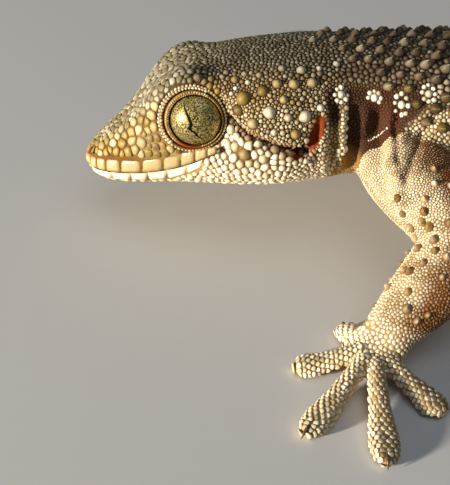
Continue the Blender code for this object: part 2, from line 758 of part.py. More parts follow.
def digit(palm, heading, length, claw):
    """One digit as a closed object: a paddle that lies flat on the floor, with a claw if it has one."""
    along = np.array((math.cos(heading), math.sin(heading), 0.0))
    side = np.array((-along[1], along[0], 0.0))
    angles = 2 * math.pi * np.arange(DIGIT_COLUMNS) / DIGIT_COLUMNS
    rings = []
    for share, half_width, thickness, height in DIGIT_FORM:
        centre = np.array((palm[0], palm[1], height)) + along * length * share
        ring = centre + np.outer(np.cos(angles) * half_width, side)
        ring[:, 2] = np.maximum(height + np.sin(angles) * thickness, 0.0)
        rings.append(ring)
    bm, _ = loft(rings)
    pieces = [new_object("digit", bm, SKIN_COLOUR)]
    if claw:
        root = np.array((palm[0], palm[1], CLAW_ROOT_HEIGHT)) + along * length * CLAW_START
        tip = np.array((palm[0], palm[1], CLAW_TIP_HEIGHT)) + along * (length * CLAW_START + CLAW_LENGTH)
        up = np.array((0.0, 0.0, 1.0))
        base = [
            root + (side * math.cos(a) + up * math.sin(a)) * CLAW_RADIUS
            for a in 2 * math.pi * np.arange(6) / 6
        ]
        base = np.array(base)
        middle = base * (1 - CLAW_MIDDLE) + tip * CLAW_MIDDLE + up * CLAW_ARCH
        bm, _ = loft([base, middle], tip_last=tip)
        pieces.append(new_object("claw", bm, SKIN_COLOUR))
    return pieces


def make_limb(name, limb):
    """The three nodes of a limb: the root is cut back from the trunk, the foot carries its digits."""
    kind, word = name.split("_")
    upper_name, lower_name, foot_name = (part + "_" + word for part in LIMB_PARTS[kind])
    upper_rings, lower_rings, palm_rings = limb_lofts(limb)
    upper = limb_segment(upper_name, upper_rings, bumps=False)
    around_root = np.linspace(limb["root"] - ROOT_SPAN, limb["root"] + ROOT_SPAN, 15)
    angles = even_angles(40)
    clear, _ = loft([trunk_point(station, angles, GAP) for station in around_root])
    apply_boolean(upper, "DIFFERENCE", [new_object("clear", clear, SKIN_COLOUR)])
    limb_segment(lower_name, lower_rings)
    foot = limb_segment(foot_name, palm_rings, bumps=False)
    _, palm, _, reach = limb_bones(limb)
    facing = math.atan2(reach[1], reach[0])
    pieces = []
    for n, (spread, length) in enumerate(zip(limb["foot"]["fan"], limb["foot"]["lengths"])):
        heading = facing - math.radians(spread) * limb["side"]
        pieces += digit(palm, heading, length, n in CLAWED_DIGITS)
    apply_boolean(foot, "UNION", pieces)


def main():
    for old in list(bpy.data.objects):
        bpy.data.objects.remove(old)
    random.seed(7)
    half_gap = GAP / 2
    make_head()
    trunk_part("neck", NECK_START + half_gap, TORSO_START - half_gap, RING_PITCH, TORSO_COLUMNS, BACK_SPREAD)
    trunk_part(
        "torso", TORSO_START + half_gap, TAIL_START - half_gap, RING_PITCH, TORSO_COLUMNS, BACK_SPREAD
    )
    trunk_part(
        "tail_base", TAIL_START + half_gap, TAIL_MIDDLE - half_gap, TAIL_PITCH, TAIL_COLUMNS,
        TAIL_SPREAD,
    )
    trunk_part(
        "tail_middle", TAIL_MIDDLE + half_gap, TAIL_END_PART - half_gap, TAIL_PITCH, TAIL_COLUMNS,
        TAIL_SPREAD,
    )
    trunk_part(
        "tail_tip", TAIL_END_PART + half_gap, TAIL_TIP - 1.0, TAIL_TIP_PITCH, TAIL_TIP_COLUMNS, TAIL_SPREAD,
        tip=place(TAIL_TIP, 0.0, TAIL_END_HEIGHT),
    )
    for name, limb in LIMBS.items():
        make_limb(name, limb)


main()
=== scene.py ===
"""The looks of a moorish gecko, life size and still, on a pale floor in low, warm studio light.

One skin covers the whole animal. Over it lie its scales: small round granules, keeled tubercles
in rows, the plates of the lips, the beads of the lids, and the rows of the toes.
"""
import math

import bmesh
import bpy
import numpy as np
from mathutils import Matrix, Vector
from mathutils.bvhtree import BVHTree
from mathutils.kdtree import KDTree


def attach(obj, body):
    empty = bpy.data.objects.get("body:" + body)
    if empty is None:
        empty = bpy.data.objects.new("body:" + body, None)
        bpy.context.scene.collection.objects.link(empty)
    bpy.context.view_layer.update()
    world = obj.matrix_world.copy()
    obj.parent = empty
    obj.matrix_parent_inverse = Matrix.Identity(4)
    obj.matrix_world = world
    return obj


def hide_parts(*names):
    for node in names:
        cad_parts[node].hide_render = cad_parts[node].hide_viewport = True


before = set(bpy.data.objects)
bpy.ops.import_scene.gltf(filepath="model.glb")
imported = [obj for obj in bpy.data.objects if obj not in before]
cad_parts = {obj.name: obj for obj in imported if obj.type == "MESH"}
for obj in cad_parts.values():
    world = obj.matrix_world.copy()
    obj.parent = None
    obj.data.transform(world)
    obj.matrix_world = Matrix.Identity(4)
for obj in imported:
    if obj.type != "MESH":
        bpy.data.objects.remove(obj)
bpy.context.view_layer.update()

MM = 0.001


# The hide. One continuous skin, soft and loose at the neck, drawn over the muscles of trunk and
# limbs. Its trunk is a loft through sections along the midline, each limb is a loft along its
# bones, and all of it is remeshed into one surface that lies a scale's depth inside the solids.

SCALE_DEPTH = 0.16
CHIN_HEIGHT = 4.3
ROLL_AXIS = CHIN_HEIGHT + 5.5
HEAD_YAW = 2.0
TAIL_TIP = 158.0
BELLY_STATION = 57.0
WIDEST_LEVEL = 0.4
SECTION_POWER = 2.3
# Station, half width, underside and back. The head's heights start at its chin line.
HEAD_FORM = (
    (0.0, 0.6, 1.6, 2.7),
    (0.3, 1.3, 1.1, 3.2),
    (0.9, 2.15, 0.6, 4.0),
    (1.8, 2.9, 0.2, 4.95),
    (3.2, 3.65, 0.0, 6.1),
    (5.0, 4.4, -0.05, 7.85),
    (7.0, 5.2, 0.0, 10.25),
    (9.3, 6.0, 0.0, 11.9),
    (12.0, 6.9, 0.0, 12.55),
    (15.0, 7.8, 0.1, 12.95),
    (18.0, 8.3, 0.2, 13.2),
    (21.0, 7.9, 0.4, 13.4),
    (24.0, 7.0, 0.6, 13.45),
    (27.5, 6.7, 1.0, 13.4),
)
BODY_FORM = (
    (32.0, 7.5, 5.0, 17.6),
    (36.0, 8.6, 3.9, 17.1),
    (42.0, 10.0, 1.5, 16.2),
    (48.0, 10.9, -0.1, 15.4),
    (57.0, 11.4, -0.5, 14.6),
    (66.0, 10.5, -0.5, 13.5),
    (73.0, 8.6, -0.1, 12.2),
    (79.0, 6.7, 0.1, 10.7),
    (85.0, 5.7, -0.1, 9.2),
    (95.0, 5.0, -0.25, 7.6),
    (109.0, 3.9, -0.25, 5.9),
    (125.0, 2.8, -0.2, 4.3),
    (141.0, 1.75, -0.15, 2.8),
    (152.0, 1.0, -0.1, 1.7),
    (158.0, 0.45, -0.05, 0.9),
)
# Station, and degrees by which the midline turns there; then the same for the roll.
HEADINGS = (
    (0.0, HEAD_YAW),
    (24.0, HEAD_YAW),
    (36.0, 0.0),
    (52.0, -5.0),
    (66.0, 3.0),
    (80.0, 14.0),
    (98.0, 20.0),
    (118.0, 2.0),
    (138.0, -26.0),
    (158.0, -44.0),
)
ROLLS = ((0.0, 12.0), (21.0, 12.0), (29.0, 6.0), (38.0, 0.0), (158.0, 0.0))
# Station, degrees from the top, height, reach along the body and spread in degrees.
SWELLINGS = {
    "brow": (8.6, 42.0, 1.4, 3.2, 14.0),
    "orbit": (10.0, 68.0, 0.75, 3.5, 24.0),
    "crown_hollow": (9.2, 0.0, -0.5, 4.0, 17.0),
    "canthus": (5.0, 40.0, 0.2, 2.4, 12.0),
    "snout_hollow": (4.6, 0.0, -0.25, 2.4, 15.0),
    "temple": (16.5, 62.0, 0.25, 3.2, 20.0),
    "jaw_muscle": (16.5, 112.0, 0.35, 3.4, 20.0),
    "neck_hollow": (26.5, 95.0, -0.45, 3.0, 26.0),
    "shoulder": (31.0, 80.0, 0.7, 3.6, 24.0),
    "hip": (73.5, 75.0, 0.6, 4.5, 26.0),
}


def smooth_curve(rows, column):
    """A smooth function through one column of a form table, by its station."""
    table = np.array(rows, float)
    keys, values = table[:, 0], table[:, column]
    slopes = np.gradient(values, keys)

    def at(station):
        station = np.clip(np.asarray(station, float), keys[0], keys[-1])
        i = np.clip(np.searchsorted(keys, station, side="right") - 1, 0, len(keys) - 2)
        span = keys[i + 1] - keys[i]
        u = (station - keys[i]) / span
        start = values[i] * (1 + 2 * u) * (1 - u) ** 2 + slopes[i] * span * u * (1 - u) ** 2
        end = values[i + 1] * u * u * (3 - 2 * u) + slopes[i + 1] * span * u * u * (u - 1)
        return start + end

    return at


RAISED_HEAD = tuple((s, w, b + CHIN_HEIGHT, t + CHIN_HEIGHT) for s, w, b, t in HEAD_FORM)
TRUNK_FORM = RAISED_HEAD + BODY_FORM
half_width = smooth_curve(TRUNK_FORM, 1)
underside = smooth_curve(TRUNK_FORM, 2)
back_height = smooth_curve(TRUNK_FORM, 3)
heading_at = smooth_curve(HEADINGS, 1)
roll_at = smooth_curve(ROLLS, 1)

midline_step = 0.25
midline_s = np.arange(0.0, TAIL_TIP + midline_step, midline_step)
midline_turn = np.radians(heading_at(midline_s))
midline_x = np.concatenate([[0], np.cumsum(np.cos(midline_turn[:-1]) * midline_step)])
midline_y = np.concatenate([[0], np.cumsum(np.sin(midline_turn[:-1]) * midline_step)])
midline_x -= np.interp(BELLY_STATION, midline_s, midline_x)
midline_y -= np.interp(BELLY_STATION, midline_s, midline_y)


def place(station, out, height):
    """From a station, a distance to the animal's right and a height to a point of the model."""
    turn = np.radians(heading_at(station))
    x = np.interp(station, midline_s, midline_x) - np.sin(turn) * out
    y = np.interp(station, midline_s, midline_y) + np.cos(turn) * out
    return np.stack(np.broadcast_arrays(x, y, height), axis=-1)


def head_point(station, out, height):
    """A point given in the head's own upright frame, with its height above the chin line."""
    angle = np.radians(roll_at(station))
    rise = height + CHIN_HEIGHT - ROLL_AXIS
    turned = out * np.cos(angle) + rise * np.sin(angle)
    return place(station, turned, ROLL_AXIS - out * np.sin(angle) + rise * np.cos(angle))


def section(station, angle):
    """Out and height of the skin; the angle turns from the right side over the back."""
    low, top = underside(station), back_height(station)
    level = low + (top - low) * WIDEST_LEVEL
    power = 2 / SECTION_POWER
    across, up = np.cos(angle), np.sin(angle)
    out = half_width(station) * np.sign(across) * np.abs(across) ** power
    rise = np.where(up > 0, top - level, level - low) * np.sign(up) * np.abs(up) ** power
    from_top = np.degrees(np.arctan2(across, up))
    swell = 0.0
    for centre, turn, height, length, spread in SWELLINGS.values():
        along = np.exp(-(((station - centre) / length) ** 2))
        swell = swell + height * along * np.exp(-(((np.abs(from_top) - turn) / spread) ** 2))
    radius = np.maximum(np.hypot(out, rise), 0.05)
    grown = 1 + swell / np.maximum(radius, 1.0) - np.minimum(SCALE_DEPTH / radius, 0.5)
    return out * grown, level + rise * grown


def trunk_point(station, angle):
    """A point of the trunk's skin, never lower than a scale's depth above the floor."""
    out, height = section(station, angle)
    point = head_point(station, out, height - CHIN_HEIGHT)
    point[..., 2] = np.maximum(point[..., 2], SCALE_DEPTH)
    return point


def locate(points):
    """Station, distance to the right and height of points, with the head's roll undone."""
    station = np.interp(points[:, 0], midline_x, midline_s)
    for _ in range(6):
        turn = np.radians(heading_at(station))
        away_x = points[:, 0] - np.interp(station, midline_s, midline_x)
        away_y = points[:, 1] - np.interp(station, midline_s, midline_y)
        step = away_x * np.cos(turn) + away_y * np.sin(turn)
        station = np.clip(station + 0.8 * step, 0.0, TAIL_TIP)
    turn = np.radians(heading_at(station))
    away_x = points[:, 0] - np.interp(station, midline_s, midline_x)
    away_y = points[:, 1] - np.interp(station, midline_s, midline_y)
    out = -away_x * np.sin(turn) + away_y * np.cos(turn)
    angle = np.radians(roll_at(station))
    rise = points[:, 2] - ROLL_AXIS
    level_out = out * np.cos(angle) - rise * np.sin(angle)
    return station, level_out, ROLL_AXIS + out * np.sin(angle) + rise * np.cos(angle)


# Place along the bones, half width and half thickness.
ARM_RADII = (
    (-0.4, 4.6, 3.5),
    (0.0, 4.9, 3.6),
    (0.4, 4.7, 3.3),
    (0.8, 4.1, 2.9),
    (1.05, 3.3, 2.6),
    (1.35, 3.5, 2.7),
    (1.75, 2.9, 2.2),
    (2.0, 2.45, 1.75),
    (2.35, 2.6, 1.4),
    (2.75, 2.7, 1.2),
    (3.0, 1.7, 0.8),
)
LEG_RADII = (
    (-0.4, 3.7, 3.2),
    (0.0, 3.9, 3.3),
    (0.4, 3.8, 3.3),
    (0.8, 3.1, 2.8),
    (1.05, 2.9, 2.6),
    (1.35, 3.1, 2.7),
    (1.75, 2.4, 2.1),
    (2.0, 2.1, 1.65),
    (2.35, 2.7, 1.45),
    (2.75, 2.8, 1.2),
    (3.0, 1.7, 0.8),
)
HAND = {"reach": 2.2, "fan": (-116, -47, 1, 40, 84), "lengths": (4.9, 6.6, 9.7, 10.5, 7.6)}
FOOT = {"reach": 3.2, "fan": (-92, -42, -3, 34, 80), "lengths": (6.2, 8.8, 11.4, 12.4, 9.6)}
LIMBS = {
    "arm_left": {
        "root": 29.9, "side": -1, "radii": ARM_RADII, "foot": HAND, "turn": 12.0,
        "bones": ((0.2, 2.5, 10.0), (0.6, 7.1, 9.2), (-4.1, 15.7, 7.3), (3.5, 21.5, 2.4)),
    },
    "arm_right": {
        "root": 29.9, "side": 1, "radii": ARM_RADII, "foot": HAND, "turn": 4.0,
        "bones": ((0.0, 2.5, 9.8), (0.0, 7.0, 8.8), (-2.8, 16.4, 6.9), (6.5, 21.2, 2.4)),
    },
    "leg_left": {
        "root": 73.5, "side": -1, "radii": LEG_RADII, "foot": FOOT, "turn": 62.0,
        "bones": ((0.0, 2.0, 6.2), (0.0, 6.4, 6.4), (7.0, 16.4, 7.4), (-1.6, 24.2, 2.4)),
    },
    "leg_right": {
        "root": 73.5, "side": 1, "radii": LEG_RADII, "foot": FOOT, "turn": 48.0,
        "bones": ((0.0, 2.0, 6.2), (0.0, 6.4, 6.4), (3.4, 17.2, 7.2), (-7.6, 21.4, 2.4)),
    },
}
PALM_HEIGHT = 1.25
PALM_LENGTH = 1.6
PATH_POINTS = 240
BONE_MARKS = (-0.4, 0, 1, 2, 3)
# Share of the toe's length, half width, half thickness and height of its middle.
DIGIT_FORM = (
    (0.10, 0.75, 0.95, 1.75),
    (0.34, 0.82, 0.9, 1.35),
    (0.52, 0.92, 0.85, 0.95),
    (0.68, 1.15, 0.75, 0.65),
    (0.84, 1.27, 0.65, 0.5),
    (0.96, 0.85, 0.5, 0.42),
    (1.00, 0.4, 0.3, 0.36),
)
digit_width = smooth_curve(DIGIT_FORM, 1)
digit_thickness = smooth_curve(DIGIT_FORM, 2)
digit_height = smooth_curve(DIGIT_FORM, 3)


def limb_path(limb):
    """Evenly spread points down the middle of a limb, its place along the bones there, and its foot."""
    side, root = limb["side"], limb["root"]
    turn = math.radians(float(heading_at(root)))
    forward = np.array((-math.cos(turn), -math.sin(turn), 0.0))
    joints = [place(root, side * out, z) + forward * ahead for ahead, out, z in limb["bones"]]
    reach = joints[-1] - joints[-2]
    facing = math.atan2(reach[1], reach[0]) - math.radians(limb["turn"]) * side
    along = np.array((math.cos(facing), math.sin(facing), 0.0))
    palm = joints[-1] + along * limb["foot"]["reach"]
    palm[2] = PALM_HEIGHT
    points = np.array([*joints, palm, palm + along * PALM_LENGTH])
    for _ in range(3):
        before, after = points[:-1], points[1:]
        cut = np.stack([before * 0.75 + after * 0.25, before * 0.25 + after * 0.75], axis=1)
        points = np.concatenate([points[:1], cut.reshape(-1, 3), points[-1:]])
    lengths = np.concatenate([[0], np.cumsum(np.linalg.norm(np.diff(points, axis=0), axis=1))])
    even = np.linspace(0, lengths[-1], PATH_POINTS)
    path = np.stack([np.interp(even, lengths, points[:, k]) for k in range(3)], axis=1)
    marks = [int(np.argmin(np.linalg.norm(path - joint, axis=1))) for joint in joints[1:]]
    bone = np.interp(np.arange(PATH_POINTS), [0, *marks, PATH_POINTS - 1], BONE_MARKS)
    return {"path": path, "bone": bone, "palm": palm, "facing": facing}


def even_turns(count):
    """Turns round a circle in even steps, in radians."""
    return 2 * math.pi * np.arange(count) / count


def oval_rings(path, across, thick, columns):
    """Oval rings square to a path, kept above the floor."""
    along = np.gradient(path, axis=0)
    along /= np.linalg.norm(along, axis=1)[:, None]
    side = np.cross(along, (0.0, 0.0, 1.0))
    side /= np.linalg.norm(side, axis=1)[:, None]
    up = np.cross(side, along)
    turns = even_turns(columns)
    rings = (
        path[:, None]
        + (np.cos(turns)[None, :, None] * across[:, None, None]) * side[:, None]
        + (np.sin(turns)[None, :, None] * thick[:, None, None]) * up[:, None]
    )
    rings[..., 2] = np.maximum(rings[..., 2], SCALE_DEPTH)
    return rings


def new_object(name, data):
    """An object of the scene that shows a mesh, a lamp or a camera."""
    made = bpy.data.objects.new(name, data)
    bpy.context.scene.collection.objects.link(made)
    return made


def loft(name, rings):
    """A closed mesh object through rings of points, in millimetres."""
    rows, columns = rings.shape[:2]
    verts = np.concatenate([rings.reshape(-1, 3), rings[[0, -1]].mean(axis=1)])
    faces = []
    for i in range(rows - 1):
        for j in range(columns):
            k = (j + 1) % columns
            here, above = i * columns, (i + 1) * columns
            faces.append((here + j, here + k, above + k, above + j))
    last = (rows - 1) * columns
    for j in range(columns):
        k = (j + 1) % columns
        faces.append((k, j, rows * columns))
        faces.append((last + j, last + k, rows * columns + 1))
    mesh = bpy.data.meshes.new(name)
    mesh.from_pydata(verts.tolist(), [], faces)
    bm = bmesh.new()
    bm.from_mesh(mesh)
    bmesh.ops.recalc_face_normals(bm, faces=bm.faces)
    bm.to_mesh(mesh)
    bm.free()
    return new_object(name, mesh)


def with_modifiers_applied(thing):
    """Turns what the object shows into its own mesh."""
    graph = bpy.context.evaluated_depsgraph_get()
    result = bpy.data.meshes.new_from_object(thing.evaluated_get(graph))
    thing.modifiers.clear()
    thing.data = result


EYE_STATION = 10.55
EYE_HEIGHT = 7.5
EYE_OUT = 4.5
EYE_RADIUS = 2.68
SOCKET_GAP = 0.2
EYE_TILT = (-0.1, 1.0, 0.05)
DISH_RADII = (3.0, 5.4)
DISH_OUT = (1.25, 3.2)
NOSTRIL = (0.62, 0.9, 3.05)
NOSTRIL_SIZE = (0.45, 0.45, 0.45)
EAR_OUT = 8.05
EAR_DEPTH = 1.0
# Station, height above the chin line, half width, half height and lean in degrees.
EAR_CUTS = ((20.95, 7.0, 0.6, 1.5, 14.0), (19.95, 5.5, 0.55, 1.35, 62.0))


def eye_frame(side):
    """The eye's centre and its axes in the model's frame: looking out, towards the tail, and up."""
    local = np.array((EYE_STATION, EYE_OUT * side, EYE_HEIGHT))
    look = np.array((EYE_TILT[0], EYE_TILT[1] * side, EYE_TILT[2]))
    centre = head_point(*local)
    out = head_point(*(local + look)) - centre
    out /= np.linalg.norm(out)
    tailward = head_point(*(local + np.array((1.0, 0.0, 0.0)))) - centre
    tailward -= out * (tailward @ out)
    tailward /= np.linalg.norm(tailward)
    up = np.cross(out, tailward) * -side
    return centre, out, tailward, up


def eye_ring(side, radius, height, turns):
    """Points on a circle round the eye's axis. The turn runs from the tail side over the top."""
    centre, look, tailward, up = eye_frame(side)
    spoke = np.cos(turns)[..., None] * tailward + np.sin(turns)[..., None] * up
    return centre + np.asarray(radius)[..., None] * spoke + np.asarray(height)[..., None] * look


def ball(name, centre, radii, lean=0.0):
    """A round cutter, its top leaning towards the tail by an angle."""
    slope = math.radians(lean)
    bm = bmesh.new()
    bmesh.ops.create_uvsphere(bm, u_segments=24, v_segments=16, radius=1.0)
    for vertex in bm.verts:
        x, y, z = np.array(vertex.co) * radii
        ahead = x * math.cos(slope) + z * math.sin(slope)
        above = z * math.cos(slope) - x * math.sin(slope)
        vertex.co = Vector(np.array((ahead, y, above)) + centre)
    mesh = bpy.data.meshes.new(name)
    bm.to_mesh(mesh)
    bm.free()
    return new_object(name, mesh)


TRUNK_COLUMNS = 120
LIMB_COLUMNS = 40
DIGIT_COLUMNS = 20
THIN_SCALES = 0.6
SKIN_CELL = 0.245
trunk_stations = np.concatenate([
    [0.05, 0.2, 0.45, 0.8],
    np.arange(1.2, 32.0, 0.4),
    np.arange(32.0, TAIL_TIP - 0.2, 0.9),
    [TAIL_TIP - 0.1],
])
trunk_turns = np.radians(-90 + 360 * np.arange(TRUNK_COLUMNS) / TRUNK_COLUMNS)
trunk_rings = [trunk_point(np.full(TRUNK_COLUMNS, s), trunk_turns) for s in trunk_stations]
hide = loft("hide", np.array(trunk_rings))
cutters = []
dish_turns = even_turns(32)
for side in (-1, 1):
    dish = [eye_ring(side, r, h - SCALE_DEPTH, dish_turns) for r, h in zip(DISH_RADII, DISH_OUT)]
    cutters.append(loft("dish", np.array(dish)))
    cutters.append(ball("socket", eye_frame(side)[0], (EYE_RADIUS + SOCKET_GAP,) * 3))
    nostril = head_point(NOSTRIL[0], NOSTRIL[1] * side, NOSTRIL[2])
    cutters.append(ball("nostril", nostril, NOSTRIL_SIZE))
    for station, level, wide, tall, lean in EAR_CUTS:
        middle = head_point(station, EAR_OUT * side, level)
        cutters.append(ball("ear", middle, (wide, EAR_DEPTH, tall), lean))
for cutter in cutters:
    cut = hide.modifiers.new("cut", "BOOLEAN")
    cut.operation = "DIFFERENCE"
    cut.solver = "EXACT"
    cut.object = cutter
with_modifiers_applied(hide)
for cutter in cutters:
    bpy.data.objects.remove(cutter)

pieces = [hide]
limb_paths = {}
digits = []
for limb_name, limb in LIMBS.items():
    found = limb_path(limb)
    limb_paths[limb_name] = found
    found["across"] = smooth_curve(limb["radii"], 1)(found["bone"])
    found["thick"] = smooth_curve(limb["radii"], 2)(found["bone"])
    across, thick = found["across"] - SCALE_DEPTH, found["thick"] - SCALE_DEPTH
    rings = oval_rings(found["path"], across, thick, LIMB_COLUMNS)
    pieces.append(loft("limb", rings[::3]))
    for n, (spread, length) in enumerate(zip(limb["foot"]["fan"], limb["foot"]["lengths"])):
        turn = found["facing"] - math.radians(spread) * limb["side"]
        along = np.array((math.cos(turn), math.sin(turn), 0.0))
        digits.append({
            "limb": limb_name, "number": n, "along": along, "length": length,
            "palm": found["palm"], "across": np.array((-along[1], along[0], 0.0)),
        })
        shares = np.linspace(DIGIT_FORM[0][0], 1.0, 40)
        path = found["palm"] + along * (length * shares[:, None])
        path[:, 2] = digit_height(shares)
        width = digit_width(shares) - SCALE_DEPTH * THIN_SCALES
        thick = digit_thickness(shares) - SCALE_DEPTH * THIN_SCALES
        pieces.append(loft("digit", oval_rings(path, width, thick, DIGIT_COLUMNS)))

joined = bmesh.new()
for piece in pieces:
    joined.from_mesh(piece.data)
joined.to_mesh(hide.data)
joined.free()
for piece in pieces[1:]:
    bpy.data.objects.remove(piece)
remesh = hide.modifiers.new("one skin", "REMESH")
remesh.mode = "VOXEL"
remesh.voxel_size = SKIN_CELL
soften = hide.modifiers.new("soften", "SMOOTH")
soften.factor = 0.5
soften.iterations = 4
with_modifiers_applied(hide)


def points_of(mesh, kind="co"):
    """All vertex places or normals of a mesh as one array."""
    flat = np.empty(len(mesh.vertices) * 3)
    if kind == "co":
        mesh.vertices.foreach_get("co", flat)
    else:
        mesh.vertex_normals.foreach_get("vector", flat)
    return flat.reshape(-1, 3)


# The folds of the hide. Loose skin gathers in upright pleats behind the jaw and over the arm
# pits, a groove runs from eye to ear, and the lips meet in a thin sunk line.

MOUTH_LINE = (
    (-2.0, 1.6), (0.5, 1.55), (3.5, 1.72), (6.0, 2.05), (8.0, 2.6), (10.0, 3.5), (12.2, 4.85),
)
mouth_height = smooth_curve(MOUTH_LINE, 1)
MOUTH_END = 12.4
MOUTH_DEPTH = 0.42
# Station, height and width of each pleat. A furrow has a minus.
NECK_PLEATS = (
    (21.6, 0.3, 0.3),
    (22.4, -0.35, 0.4),
    (23.3, 0.42, 0.35),
    (24.3, -0.45, 0.5),
    (25.4, 0.22, 0.35),
    (26.5, -0.45, 0.55),
    (27.7, 0.15, 0.35),
)
PLEAT_BOW = 0.015
PLEAT_LEVEL = 6.0
GROOVE_LINE = (
    (13.2, 7.9), (14.05, 7.3), (14.9, 6.7), (16.1, 6.25),
    (17.1, 5.95), (18.2, 5.6), (19.4, 5.35), (20.4, 5.2),
)
GROOVE_DEPTH = 0.62
UPPER_BANK = 0.15
LOWER_BANK = 0.22
BANK_AWAY = 0.8
SHOULDER_PLEATS = (
    ((28.3, 9.2), (28.0, 7.2), (27.8, 6.2)),
    ((31.4, 9.4), (30.7, 8.1), (29.2, 6.55), (28.3, 5.3)),
)
SHOULDER_PLEAT_DEPTH = 0.35
SHOULDER_SWELL = 0.3
EDGE_STATION = 25.94
EDGE_LEVEL = 4.84
EDGE_SLOPE = 1.09


def step(value, low, high):
    """A smooth step from 0 to 1."""
    t = np.clip((value - low) / (high - low), 0, 1)
    return t * t * (3 - 2 * t)


def hump(value, centre, width):
    """A smooth hump of height 1."""
    return np.exp(-(((value - centre) / width) ** 2))


def groove_level(station):
    """Height above the chin line of the groove that runs back from the eye to the ear."""
    return np.interp(station, *zip(*GROOVE_LINE))


def past_shoulder_edge(station, level):
    """How far behind the slanting edge between the dark neck and the shoulder a place lies."""
    return station - EDGE_STATION - (level - EDGE_LEVEL) / EDGE_SLOPE


def shoulder_share(station, level):
    """1 on the pale skin of the shoulder, 0 on the dark neck ahead of it."""
    return step(past_shoulder_edge(station, level), -0.2, 0.35)


def from_line(station, level, line):
    """How far places are from a line drawn on the animal's side, given by stations and heights."""
    nearest = np.full(len(station), 1e9)
    for (s0, v0), (s1, v1) in zip(line, line[1:]):
        along_s, along_v = s1 - s0, v1 - v0
        part = ((station - s0) * along_s + (level - v0) * along_v) / (along_s**2 + along_v**2)
        part = np.clip(part, 0, 1)
        away = np.hypot(station - s0 - part * along_s, level - v0 - part * along_v)
        nearest = np.minimum(nearest, away)
    return nearest


def fold_depth(points):
    """How far the folds move the skin along its normal, in millimetres."""
    station, out, height = locate(points)
    level = height - CHIN_HEIGHT
    side = np.clip(np.abs(out) / 4.0 - 0.4, 0, 1)
    move = -MOUTH_DEPTH * hump(level, mouth_height(station), 0.26) * (station < MOUTH_END)
    window = step(level, 2.5, 4.2) * step(-level, -10.0, -8.0) * side
    bowed = station - PLEAT_BOW * (level - PLEAT_LEVEL) ** 2
    for centre, height_of, width in NECK_PLEATS:
        move += height_of * hump(bowed, centre, width) * window
    groove = step(station, 12.9, 13.8) * step(-station, -20.6, -20.0) * side
    bottom = groove_level(station)
    move -= GROOVE_DEPTH * hump(level, bottom, 0.34) * groove
    move += LOWER_BANK * hump(level, bottom - BANK_AWAY, 0.35) * groove
    move += UPPER_BANK * hump(level, bottom + BANK_AWAY, 0.35) * groove
    for line in SHOULDER_PLEATS:
        furrow = hump(from_line(station, level, line), 0.0, 0.28)
        move -= SHOULDER_PLEAT_DEPTH * furrow * side * (height > 5)
    swell = SHOULDER_SWELL * hump(past_shoulder_edge(station, level), 0.3, 0.4) * side
    move += swell * step(level, 1.5, 3.5) * step(-level, -11.5, -10)
    return move


skin_points = points_of(hide.data)
skin_points += points_of(hide.data, "normal") * fold_depth(skin_points)[:, None]
skin_points[:, 2] = np.maximum(skin_points[:, 2], 0.05)
hide.data.vertices.foreach_set("co", skin_points.ravel())
hide.data.update()
skin_normals = points_of(hide.data, "normal")
skin_tree = BVHTree.FromPolygons(
    [Vector(p) for p in skin_points], [tuple(f.vertices) for f in hide.data.polygons]
)
normal_tree = KDTree(len(skin_points))
for n, point in enumerate(skin_points):
    normal_tree.insert(point, n)
normal_tree.balance()


# The markings. Cream lips, throat and belly, ochre cheeks and limbs, a grey-brown back with
# darker bands, and red-brown skin between the scales of the neck. Some of the darkness is
# painted shade: on the crown and the top of neck and shoulders, in the groove from eye to ear
# and the mouth line, in the shoulder folds and the armpit, on the bare neck under the jaw and on
# the rear side of the arms; the low neck is painted light. They are worked out once from
# the place on the animal, for the skin and for every scale alike.

def blot(points, size, seed):
    """Soft irregular blots between 0 and 1, made of a few crossing waves."""
    draw = np.random.default_rng(seed)
    total = np.zeros(len(points))
    for _ in range(7):
        direction = draw.normal(size=3)
        direction /= np.linalg.norm(direction)
        wave = 2 * math.pi / (size * draw.uniform(0.7, 1.6))
        total += np.sin(points @ direction * wave + draw.uniform(0, 6.3))
    return 1 / (1 + np.exp(-total * 0.9))


def nearest_limb(points):
    """The nearest limb, the place along its bones, how far to its rear and how far out, in radii."""
    best = np.full(len(points), 1e9)
    limb_of = np.zeros(len(points), int)
    bone_of = np.zeros(len(points))
    rear_of = np.zeros(len(points))
    for number, found in enumerate(limb_paths.values()):
        path, bone, radii = found["path"][::6], found["bone"][::6], found["across"][::6]
        lines = np.gradient(path, axis=0)
        lines /= np.linalg.norm(lines, axis=1)[:, None]
        near = np.linalg.norm(points[:, None] - path[None], axis=2) / radii[None]
        pick = near.argmin(axis=1)
        value = near[np.arange(len(points)), pick]
        closer = value < best
        best[closer] = value[closer]
        limb_of[closer] = number
        bone_of[closer] = bone[pick[closer]]
        away = points[closer] - path[pick[closer]]
        axis = lines[pick[closer]]
        lengthways = (away * axis).sum(axis=1) * axis[:, 0]
        rear_of[closer] = (away[:, 0] - lengthways) / radii[pick[closer]]
    return limb_of, bone_of, rear_of, best


LIMBS_FROM = 24
OFF_TRUNK = 1.13
NEAR_LIMB = 1.6
BESIDE_TRUNK = 1.2
FAR_FROM_LIMB = 6


